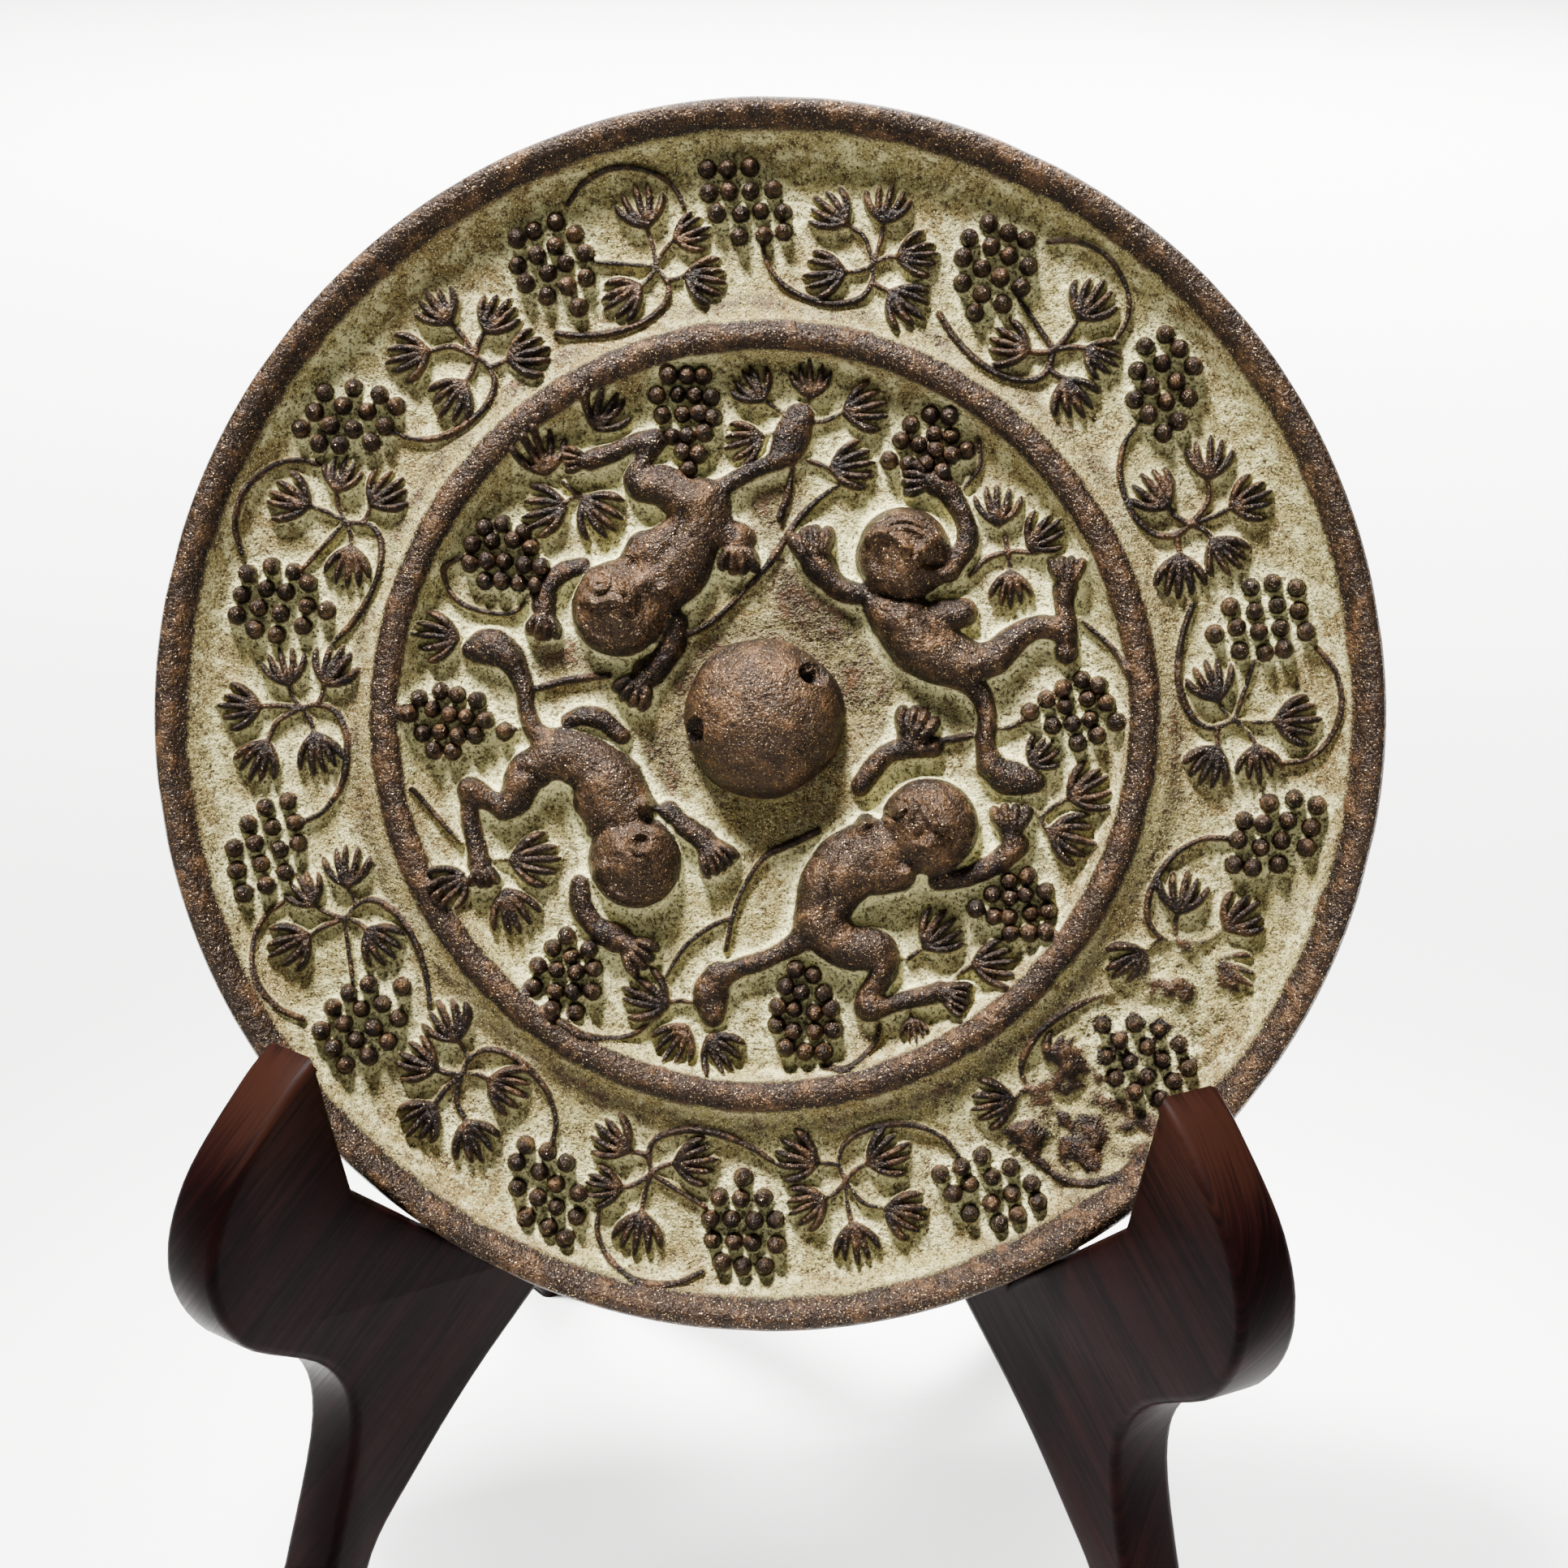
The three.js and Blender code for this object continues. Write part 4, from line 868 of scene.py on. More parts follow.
def relief_values(piece, place, relief, heights):
    """Stores four numbers at each vertex for the bronze to read.

    Exposed is how bare of verdigris it lies, and takes in the painted shade between grapes as brown skin;
    proud how far it stands out, which sets both the rubbed metal and the painted highlight on the tops; halo
    how close it is to the foot of a form; and polished whether it is on the flat face. The knob has no
    heights on the raster, so it gives none, and its own height above the field counts.
    """
    inverse = np.array(place.inverted())
    u, v, n = (mesh_coords(piece.data) @ inverse[:3, :3].T + inverse[:3, 3]).T
    if heights is None:
        rise = n - bpy.context.scene.bronze_mirror_sizes.inner_field
    else:
        rise = relief.sample(heights, u, v)
    hollow, halo, brown = (
        relief.sample(values, u, v) for values in (relief.hollow, relief.halo, relief.brown))
    on_rim = np.clip((np.hypot(u, v) - RIM_CREST) / 1.2, 0, 1)
    on_ring = np.clip((1.75 - np.abs(off_ring(u, v, RING_CREST))) / 0.9, 0, 1) * (n > 3)
    crest = np.maximum(on_rim, on_ring)
    # Brown holds the painted shade between grapes as well as stains; proud sets the painted highlight on tops
    # and crests.
    store(piece.data, "exposed", rise - HOLLOW_WEIGHT * hollow + BROWN_WEIGHT * brown + CREST_WEIGHT * crest)
    store(piece.data, "proud", rise + CREST_RISE * crest)
    store(piece.data, "halo", halo)
    store(piece.data, "polished", (n < 0.05).astype(float))


@functools.cache
def relief_maps():
    """The relief and the masks that follow from it, worked out once."""
    sizes = bpy.context.scene.bronze_mirror_sizes
    cell = CELL
    relief = carve(sizes, cell)
    full, ground = relief.h.copy(), np.zeros_like(relief.h)
    # The grapes' own tops, and the skin between them, kept dark brown partly as painted shade in the gaps.
    for u, v in grape_places():
        window = relief.window([[u, v]], 1.8)
        near = np.hypot(relief.u[window] - u, relief.v[window] - v)
        full[window] = np.maximum(full[window], sizes.berry_rise * crown(near / 1.05))
        ground[window] = np.maximum(ground[window], np.clip(1.55 - near, 0, 1))
    low = np.clip(full, 0, 2.2)
    relief.full = full
    relief.hollow = smooth(full, 0.7, cell) - full
    relief.halo = np.clip(smooth(low, 1.1, cell) - low * 0.8, 0, 2)
    # Painted shade: the gaps between grapes take the dark brown skin instead of verdigris, partly as the
    # shade there.
    brown = np.maximum(np.zeros_like(full), 0.62 * smooth(ground, 0.2, cell))
    for u, v, long, wide, turn, strength in BROWN_PATCHES:
        c, s = math.cos(math.radians(turn)), math.sin(math.radians(turn))
        x, y = relief.u - u, relief.v - v
        off = ((c * x + s * y) / long) ** 2 + ((c * y - s * x) / wide) ** 2
        brown = np.maximum(brown, strength * np.clip(1.6 - off, 0, 1))
    # The field is brown along the outer foot of the ring, over 2.6 mm to each side of a line 3.4 mm out.
    foot = 1 - np.abs(off_ring(relief.u, relief.v, sizes.ring_radius) - 3.4) / 2.6
    relief.brown = np.maximum(brown, 0.5 * np.clip(foot, 0, 1))
    return relief


def add_node(tree, kind, output, inputs, **settings):
    """Adds a node with its settings, sets or links its inputs, and returns one of its outputs."""
    node = tree.nodes.new(kind)
    for name, value in settings.items():
        setattr(node, name, value)
    for key, value in inputs.items():
        if isinstance(value, bpy.types.NodeSocket):
            tree.links.new(value, node.inputs[key])
        elif node.inputs[key].type == "RGBA":
            node.inputs[key].default_value = (*value, 1)
        else:
            node.inputs[key].default_value = value
    return None if output is None else node.outputs[output]


def lay_tones(tree, tone, layers):
    """Lays tones over a first one.

    Each layer has a tone, a mask, the mask's values where the tone starts and is full, and its cover there.
    """
    for above, mask, low, high, cover in layers:
        share = add_node(
            tree, "ShaderNodeMapRange", 0, {0: mask, 1: low, 2: high, 3: 0.0, 4: cover},
            interpolation_type="SMOOTHSTEP")
        tone = add_node(tree, "ShaderNodeMix", 2, {0: share, 6: tone, 7: above}, data_type="RGBA")
    return tone


def new_material(name):
    """A material with an empty tree, its principled shader and its output."""
    material = bpy.data.materials.new(name)
    material.use_nodes = True
    tree = material.node_tree
    tree.nodes.clear()
    output = tree.nodes.new("ShaderNodeOutputMaterial")
    shader = tree.nodes.new("ShaderNodeBsdfPrincipled")
    tree.links.new(shader.outputs[0], output.inputs[0])
    return material, tree, shader


def old_bronze():
    """Cast high-tin bronze, long buried.

    It has a matt brown skin that is rubbed to metal on what stands proud, where highlights and glints are
    also painted, and verdigris in the hollows. Between the grapes its dark skin is partly painted shade.
    """
    if "old_cast_bronze" in bpy.data.materials:
        return bpy.data.materials["old_cast_bronze"]
    tones = bpy.context.scene.bronze_mirror_colours
    material, tree, shader = new_material("old_cast_bronze")
    add = functools.partial(add_node, tree)
    place = add("ShaderNodeTexCoord", "Object", {})
    exposed, proud, halo, polished = (
        add("ShaderNodeAttribute", "Fac", {}, attribute_name=name)
        for name in ("exposed", "proud", "halo", "polished")
    )
    # Lumps by their size in mm: the cast grain, bright specks, small pits, and corrosion of two sizes.
    grain, speckle, lumpy, mottle, cloud = (
        add("ShaderNodeTexNoise", 0, {
            "Vector": place, "Scale": 1 / (size * MM), "Detail": detail, "Roughness": rough})
        for size, detail, rough in (
            (0.32, 2, 0.75), (0.18, 1, 0.8), (0.9, 2, 0.6), (2.4, 4, 0.65), (11, 4, 0.55))
    )
    # Verdigris lies where the surface is low and sheltered, and is broken up by the casting's grain.
    for texture, weight in ((mottle, 1.8), (grain, 1.7)):
        exposed = add("ShaderNodeMath", 0, {0: texture, 1: weight, 2: exposed}, operation="MULTIPLY_ADD")
    bare = add("ShaderNodeMapRange", 0, {0: exposed, 1: 2.05, 2: 2.7}, interpolation_type="SMOOTHSTEP")
    patina = lay_tones(tree, tones.patina, [
        (tones.earth, cloud, 0.4, 0.62, 0.9), (tones.pale, mottle, 0.46, 0.66, 0.55),
        (tones.pale, halo, 0.12, 0.75, 0.95), (tones.skin, lumpy, 0.47, 0.3, 0.75),
        (tones.skin, grain, 0.54, 0.33, 0.9), (tones.pale, speckle, 0.58, 0.7, 0.6),
    ])
    # Bright specks are partly rubbed metal and partly painted glints, most on what stands proud.
    glint = add("ShaderNodeMapRange", 0, {0: speckle, 1: 0.64, 2: 0.71}, interpolation_type="SMOOTHSTEP")
    lit = add("ShaderNodeMapRange", 0, {0: proud, 1: 0.4, 2: 2.4, 3: 0.25, 4: 0.7},
              interpolation_type="SMOOTHSTEP")
    glint = add("ShaderNodeMath", 0, {0: glint, 1: lit}, operation="MULTIPLY")
    # Painted highlight: the worn tone on what stands proud is partly wear and partly light on the tops.
    skin = lay_tones(tree, tones.deep, [
        (tones.skin, mottle, 0.38, 0.66, 1), (tones.worn, mottle, 0.5, 0.7, 0.3),
        (tones.worn, proud, 1.2, 4, 0.12), (tones.deep, grain, 0.52, 0.34, 0.85),
        (tones.glint, glint, 0, 1, 1),
    ])
    body = add("ShaderNodeMix", 2, {0: bare, 6: patina, 7: skin}, data_type="RGBA")
    flat_face = lay_tones(tree, tones.tarnish, [
        (tones.skin, cloud, 0.42, 0.6, 0.75), (tones.patina, mottle, 0.54, 0.7, 0.5)])
    body = lay_tones(tree, body, [(flat_face, polished, 0, 1, 1)])
    # Only bare skin is part metal, and only metal and the flat face are smoother than crust.
    metal = add("ShaderNodeMath", 0, {0: glint, 1: 0.32}, operation="ADD", use_clamp=True)
    metal = add("ShaderNodeMath", 0, {0: metal, 1: bare}, operation="MULTIPLY")
    rough = add("ShaderNodeMapRange", 0, {0: bare, 3: 0.9, 4: 0.42})
    for mask, less in ((glint, -0.12), (polished, -0.22)):
        rough = add("ShaderNodeMath", 0, {0: mask, 1: less, 2: rough}, operation="MULTIPLY_ADD")
    # The corrosion, pits and grain are as deep in mm as is given here.
    bumps = None
    for height, depth in ((mottle, 0.45), (lumpy, 0.32), (grain, 0.26)):
        values = {"Height": height, "Strength": 1, "Distance": depth * MM}
        bumps = add("ShaderNodeBump", 0, values if bumps is None else {**values, "Normal": bumps})
    for name, value in (("Base Color", body), ("Metallic", metal), ("Roughness", rough), ("Normal", bumps)):
        tree.links.new(value, shader.inputs[name])
    # The old skin and crust are matt: they reflect less than a clean surface.
    shader.inputs["Specular IOR Level"].default_value = 0.2
    return material


def lacquered_wood():
    """Dark rosewood-like hardwood, sawn and rounded by hand under a satin red-brown lacquer."""
    if "lacquered_dark_hardwood" in bpy.data.materials:
        return bpy.data.materials["lacquered_dark_hardwood"]
    tones = bpy.context.scene.cradle_colours
    material, tree, shader = new_material("lacquered_dark_hardwood")
    add = functools.partial(add_node, tree)
    along = add("ShaderNodeUVMap", 0, {}, uv_map="grain")
    stretch = add("ShaderNodeMapping", 0, {"Vector": along, "Scale": (0.045, 1, 1)}, vector_type="POINT")
    # Fibres half a millimetre wide and a figure of 2.6 mm run along the board.
    fibre, figure = (
        add("ShaderNodeTexNoise", 0, {
            "Vector": stretch, "Scale": 1 / (size * MM), "Detail": 3.0, "Roughness": 0.6})
        for size in (0.45, 2.6)
    )
    wear = add("ShaderNodeAttribute", "Fac", {}, attribute_name="wear")
    rubbed = add("ShaderNodeMath", 0, {0: wear, 1: fibre}, operation="MULTIPLY")
    wood = lay_tones(tree, tones.dark, [
        (tones.red, figure, 0.42, 0.64, 0.7), (tones.red, fibre, 0.45, 0.65, 0.6),
        (tones.worn, rubbed, 0.1, 0.5, 1),
    ])
    rough = add("ShaderNodeMapRange", 0, {0: fibre, 1: 0.3, 2: 0.7, 3: 0.5, 4: 0.36})
    bump = add("ShaderNodeBump", 0, {"Height": fibre, "Strength": 0.3, "Distance": 0.08 * MM})
    for name, value in (("Base Color", wood), ("Roughness", rough), ("Normal", bump)):
        tree.links.new(value, shader.inputs[name])
    shader.inputs["IOR"].default_value = 1.45
    shader.inputs["Specular IOR Level"].default_value = 0.035
    return material


class MIRROR_OT_casting(bpy.types.Operator):
    """Builds the disc with its rim, ring, beasts, leaves and stems"""

    bl_idname = "bronze_mirror.casting"
    bl_label = "Casting"

    def execute(self, context):
        sizes = context.scene.bronze_mirror_sizes
        relief = relief_maps()
        place = mirror_place()
        rings = sizes.rings
        flat, faces = disc_mesh(rings, sizes.radius - EDGE_ROUND)
        u, v = flat.T
        # The relief fades to a quarter on the rim, and there nothing stands above the rim's own height.
        inside = sizes.radius - np.hypot(u, v)
        fade = np.clip((inside - 2.6) / 1.5, 0.25, 1)
        height = blank_height(sizes, u, v) + relief.sample(relief.h, u, v) * fade
        points = [np.column_stack([u, v, np.where(inside < 4, np.minimum(height, sizes.rim_height), height)])]
        edge = 6 * rings
        turn = np.arange(edge) * (2 * math.pi / edge)
        count = len(flat)
        previous = np.arange(count - edge, count)
        # The edge goes round its front corner, which is lightly dented, and down to a chamfer at the back.
        wall = [
            (sizes.radius - 0.3, sizes.rim_height - 0.3), (sizes.radius - 0.01, sizes.rim_height - 1),
            (sizes.radius - 0.01, 0.6), (sizes.radius - 0.6, 0),
        ]
        faces = [faces]
        for radius, level in wall:
            dent = 0.1 * np.clip(np.sin(turn * 9 + radius) * np.sin(turn * 23) - 0.3, 0, 1) if level else 0
            points.append(np.column_stack([
                np.cos(turn) * (radius - dent), np.sin(turn) * (radius - dent), np.full(edge, level)]))
            ring = count + np.arange(edge)
            after = np.roll(ring, -1)
            before = np.roll(previous, -1)
            faces.append(np.column_stack([previous, ring, after]))
            faces.append(np.column_stack([previous, after, before]))
            previous = ring
            count += edge
        points.append(np.zeros((1, 3)))
        faces.append(np.column_stack([previous, np.full(edge, count), np.roll(previous, -1)]))
        points = np.concatenate(points)
        matrix = np.array(place)
        points = points @ matrix[:3, :3].T + matrix[:3, 3]
        piece = mesh_object("mirror_casting", points, np.concatenate(faces))
        total = len(piece.data.polygons)
        if total > sizes.faces:
            carved = piece.vertex_groups.new(name="carved")
            carved.add(list(range(len(flat) - edge)), 1, "REPLACE")
            thin = piece.modifiers.new("Thin", "DECIMATE")
            thin.vertex_group = carved.name
            thin.ratio = sizes.faces / total
            apply_modifiers(piece)
        relief_values(piece, place, relief, relief.h)
        settle(piece, "mirror", old_bronze())
        return {"FINISHED"}


class MIRROR_OT_grapes(bpy.types.Operator):
    """Builds the grapes of every bunch with Geometry Nodes"""

    bl_idname = "bronze_mirror.grapes"
    bl_label = "Grapes"

    def execute(self, context):
        sizes = context.scene.bronze_mirror_sizes
        relief = relief_maps()
        place = mirror_place()
        matrix = np.array(place)
        spots = grape_places()
        base = blank_height(sizes, spots[:, 0], spots[:, 1]) + GRAPE_SEAT * sizes.berry_rise
        local = np.column_stack([spots, base])
        piece = mesh_object("mirror_grapes", local @ matrix[:3, :3].T + matrix[:3, 3], [])
        random = np.random.default_rng(5)
        worn = relief.sample(relief.worn, spots[:, 0], spots[:, 1])
        store(piece.data, "size", random.uniform(0.84, 1.1, len(spots)) * (1 - 0.15 * worn))
        tree = bpy.data.node_groups.new("Grapes on the casting", "GeometryNodeTree")
        for name, kind, flow in (
            ("Geometry", "NodeSocketGeometry", "INPUT"), ("Grape radius", "NodeSocketFloat", "INPUT"),
            ("Grape height", "NodeSocketFloat", "INPUT"), ("Lean", "NodeSocketFloat", "INPUT"),
            ("Material", "NodeSocketMaterial", "INPUT"), ("Geometry", "NodeSocketGeometry", "OUTPUT"),
        ):
            tree.interface.new_socket(name, in_out=flow, socket_type=kind)
        source = tree.nodes.new("NodeGroupInput").outputs
        add = functools.partial(add_node, tree)
        ball = add("GeometryNodeMeshUVSphere", "Mesh", {"Segments": 10, "Rings": 7, "Radius": 1.0})
        scale = add("ShaderNodeCombineXYZ", 0, {
            "X": source["Grape radius"], "Y": source["Grape radius"], "Z": source["Grape height"]})
        turn = add("ShaderNodeCombineXYZ", 0, {"X": source["Lean"]})
        size = add("GeometryNodeInputNamedAttribute", 0, {"Name": "size"}, data_type="FLOAT")
        scaled = add("ShaderNodeVectorMath", 0, {0: scale, "Scale": size}, operation="SCALE")
        placed = add("GeometryNodeInstanceOnPoints", 0, {
            "Points": source["Geometry"], "Instance": ball, "Rotation": turn, "Scale": scaled})
        smooth_balls = add("GeometryNodeSetShadeSmooth", 0, {"Geometry": placed})
        real = add("GeometryNodeRealizeInstances", 0, {"Geometry": smooth_balls})
        finish = add("GeometryNodeSetMaterial", 0, {"Geometry": real, "Material": source["Material"]})
        add("NodeGroupOutput", None, {0: finish})
        modifier = piece.modifiers.new("Grapes", "NODES")
        modifier.node_group = tree
        values = {
            "Grape radius": sizes.berry_radius * MM,
            "Grape height": sizes.berry_rise * (1 - GRAPE_SEAT) * MM,
            "Lean": math.pi / 2 - sizes.lean, "Material": old_bronze(),
        }
        for item in tree.interface.items_tree:
            if item.in_out == "INPUT" and item.name in values:
                modifier[item.identifier] = values[item.name]
        apply_modifiers(piece)
        piece.data.polygons.foreach_set("use_smooth", [True] * len(piece.data.polygons))
        relief_values(piece, place, relief, relief.full)
        settle(piece, "mirror", old_bronze())
        return {"FINISHED"}


class MIRROR_OT_knob(bpy.types.Operator):
    """Builds the domed knob with its cord hole"""

    bl_idname = "bronze_mirror.knob"
    bl_label = "Knob"

    def execute(self, context):
        sizes = context.scene.bronze_mirror_sizes
        relief = relief_maps()
        place = mirror_place()
        rings = KNOB_RINGS
        flat, faces = disc_mesh(rings, 1.0)
        share = np.hypot(*flat.T)
        turn = np.arctan2(flat[:, 1], flat[:, 0])
        tilt = share * math.pi / 2
        # The dome is a few hundredths off true, all the way round and up.
        bulge = 1 + 0.02 * np.sin(3 * turn + 1) * share + 0.012 * np.sin(7 * turn + share * 5)
        lift = 1 + 0.025 * np.sin(4 * turn + 3 * share) * share
        radius = sizes.knob_radius * np.sin(tilt) * bulge
        rise = sizes.knob_rise * np.clip(np.cos(tilt), 0, 1) ** 0.9 * lift
        u = KNOB_PLACE[0] + radius * np.cos(turn)
        v = KNOB_PLACE[1] + radius * np.sin(turn)
        points = np.column_stack([u, v, sizes.inner_field - KNOB_SINK + rise])
        rim = np.arange(len(flat) - 6 * rings, len(flat))
        foot = points[rim] - [0, 0, KNOB_FOOT]
        count = len(points)
        ring = count + np.arange(len(rim))
        faces = [faces, np.column_stack([rim, ring, np.roll(ring, -1)]),
                 np.column_stack([rim, np.roll(ring, -1), np.roll(rim, -1)]),
                 np.column_stack([ring, np.full(len(ring), count + len(ring)), np.roll(ring, -1)])]
        points = np.concatenate([points, foot, [[*KNOB_PLACE, sizes.inner_field - KNOB_SINK - KNOB_FOOT]]])
        matrix = np.array(place)
        piece = mesh_object("mirror_knob", points @ matrix[:3, :3].T + matrix[:3, 3], np.concatenate(faces))
        hole = bmesh.new()
        bmesh.ops.create_cone(
            hole, cap_ends=True, segments=32, radius1=sizes.hole_radius, radius2=sizes.hole_radius, depth=26)
        turned = Matrix.Rotation(math.radians(CORD_HOLE_TURN), 4, "Z") @ Matrix.Rotation(math.pi / 2, 4, "Y")
        middle = Vector((*KNOB_PLACE, sizes.inner_field)) + Vector((*CORD_HOLE_SHIFT, CORD_HOLE_RISE))
        at = Matrix.Translation(middle)
        bmesh.ops.transform(hole, matrix=place @ at @ turned, verts=hole.verts)
        bmesh.ops.recalc_face_normals(hole, faces=hole.faces)
        cut_away(piece, {"cord_hole": hole})
        piece.data.polygons.foreach_set("use_smooth", [True] * len(piece.data.polygons))
        relief_values(piece, place, relief, None)
        settle(piece, "mirror", old_bronze())
        return {"FINISHED"}


def cut_away(piece, solids):
    """Cuts named solids out of a piece."""
    cutters = []
    for name, solid in solids.items():
        mesh = bpy.data.meshes.new(name)
        solid.to_mesh(mesh)
        solid.free()
        cutter = bpy.data.objects.new(name, mesh)
        bpy.context.collection.objects.link(cutter)
        cutters.append(cutter)
        cut = piece.modifiers.new(name, "BOOLEAN")
        cut.operation = "DIFFERENCE"
        cut.solver = "EXACT"
        cut.object = cutter
    apply_modifiers(piece)
    for cutter in cutters:
        mesh = cutter.data
        bpy.data.objects.remove(cutter)
        bpy.data.meshes.remove(mesh)


def spline(points, divisions):
    """Points on the same smooth curve that the boards are sawn to."""
    points = [Vector(p) for p in points]
    result = []
    for i in range(len(points) - 1):
        p0, p1 = points[max(i - 1, 0)], points[i]
        p2, p3 = points[i + 1], points[min(i + 2, len(points) - 1)]
        for k in range(divisions):
            t = k / divisions
            v0, v1 = (p2 - p0) / 2, (p3 - p1) / 2
            square, cube = 3 * (p2 - p1) - 2 * v0 - v1, 2 * (p1 - p2) + v0 + v1
            result.append(cube * t**3 + square * t**2 + v0 * t + p1)
    result.append(points[-1])
    return result


def cradle_frame(context):
    """Where the mirror meets the boards, in the cradle's own millimetres: the crossing is at x = y = 0."""
    sizes = context.scene.cradle_sizes
    mirror = context.scene.bronze_mirror_sizes
    lean, splay = mirror.lean, sizes.splay
    drop = math.sqrt(mirror.radius**2 - sizes.seat_half_span**2)
    seat = -sizes.seat_half_span / math.sin(splay)
    up = Vector((0, math.sin(lean), math.cos(lean)))
    out = Vector((0, -math.cos(lean), math.sin(lean)))
    back = Vector((0, seat * math.cos(splay), sizes.seat_height)) + up * drop - out * mirror.rim_height / 2
    return sizes, mirror, seat, drop, back


def board_outline(context):
    """One board's outline, in mm: along the board from the crossing, and up from the ground.

    The hook and front leg are measured from the seat, at f along and z up, as in the photograph. What the
    mirror hides is drawn to match.
    """
    sizes, mirror, f, drop, back = cradle_frame(context)
    lean, splay, z = mirror.lean, sizes.splay, sizes.seat_height
    half = sizes.thickness / 2

    def back_wall(height):
        depth = (height - back.z) * math.sin(lean) + sizes.fit_gap
        return (depth / math.cos(lean) + back.y) / math.cos(splay) + half * math.tan(splay)

    # The seat follows the mirror's rim, which falls by this much for each mm along and across the board.
    rim_fall = sizes.seat_half_span / drop / math.cos(lean)
    slope = rim_fall * math.sin(splay) + math.cos(splay) * math.tan(lean)
    across = abs(rim_fall * math.cos(splay) - math.sin(splay) * math.tan(lean))

    def seat_floor(s):
        return z - slope * (s - f) - across * half - sizes.fit_gap / math.cos(lean)

    # The seat's corner lies on both its floor and its back wall, and is found by turns.
    corner = z
    for _ in range(20):
        corner = seat_floor(back_wall(corner))
    post_top = z + 56.5
    post = back_wall(post_top)
    hook = spline([
        (f - 15.5, z - 34), (f - 11.5, z - 19), (f - 14.3, z - 11), (f - 24.6, z - 5), (f - 28.6, z + 2.5),
        (f - 26.4, z + 10.75), (f - 19.3, z + 18.5), (f - 15.3, z + 21.5)], 6)
    seat_front = f - 10.8
    toe, back_toe, back_heel, sole = f - 21, 58.5, 48, 2
    rear = spline([
        (post + 5.5, z + 62), (post + 11, post_top), (post + 14, z + 31), (32, z + 5), (45.25, z - 5),
        (48, z - 24), (50.5, z / 4), (back_toe, sole)], 6)
    arch = spline([
        (45, z / 4), (39, z - 22), (19.5, z - 5), (0, z + 2.5), (f / 2, z - 4), (f + 9, z - 15.5),
        (f - 2.9, z - 26), (f - 9.9, z - 34.8), (f - 10.5, 0)], 6)
    return [
        Vector((toe, sole)), *hook, Vector((seat_front, seat_floor(seat_front) + 1)),
        Vector((back_wall(corner), corner)), Vector((post, post_top)), *rear, Vector((back_toe, 0)),
        Vector((back_heel, 0)), *arch, Vector((toe, 0)),
    ]


def rounded_slab(outline, half, edge):
    """A closed outline given thickness, with quarter-round edges: points and faces."""
    corners = np.array(outline)
    if sum(a[0] * b[1] - b[0] * a[1] for a, b in zip(corners, np.roll(corners, -1, 0))) < 0:
        corners = corners[::-1]
    ahead = np.roll(corners, -1, 0) - corners
    ahead /= np.linalg.norm(ahead, axis=1)[:, None]
    inward = np.column_stack([-ahead[:, 1], ahead[:, 0]])
    mitre = inward + np.roll(inward, 1, 0)
    mitre /= np.maximum((mitre**2).sum(1), 0.9)[:, None] / 2
    angles = np.radians([0, 30, 60, 90, 90, 60, 30, 0])
    layers = []
    for i, angle in enumerate(angles):
        flat = corners + mitre * edge * (1 - math.sin(angle))
        depth = (half - edge * (1 - math.cos(angle))) * (-1 if i < 4 else 1)
        layers.append(np.column_stack([flat[:, 0], np.full(len(flat), depth), flat[:, 1]]))
    count = len(corners)
    faces = [list(range(count)), list(range(8 * count - 1, 7 * count - 1, -1))]
    for layer in range(7):
        for i in range(count):
            a, b = layer * count + i, layer * count + (i + 1) % count
            faces.append([b, a, a + count, b + count])
    return np.concatenate(layers), faces


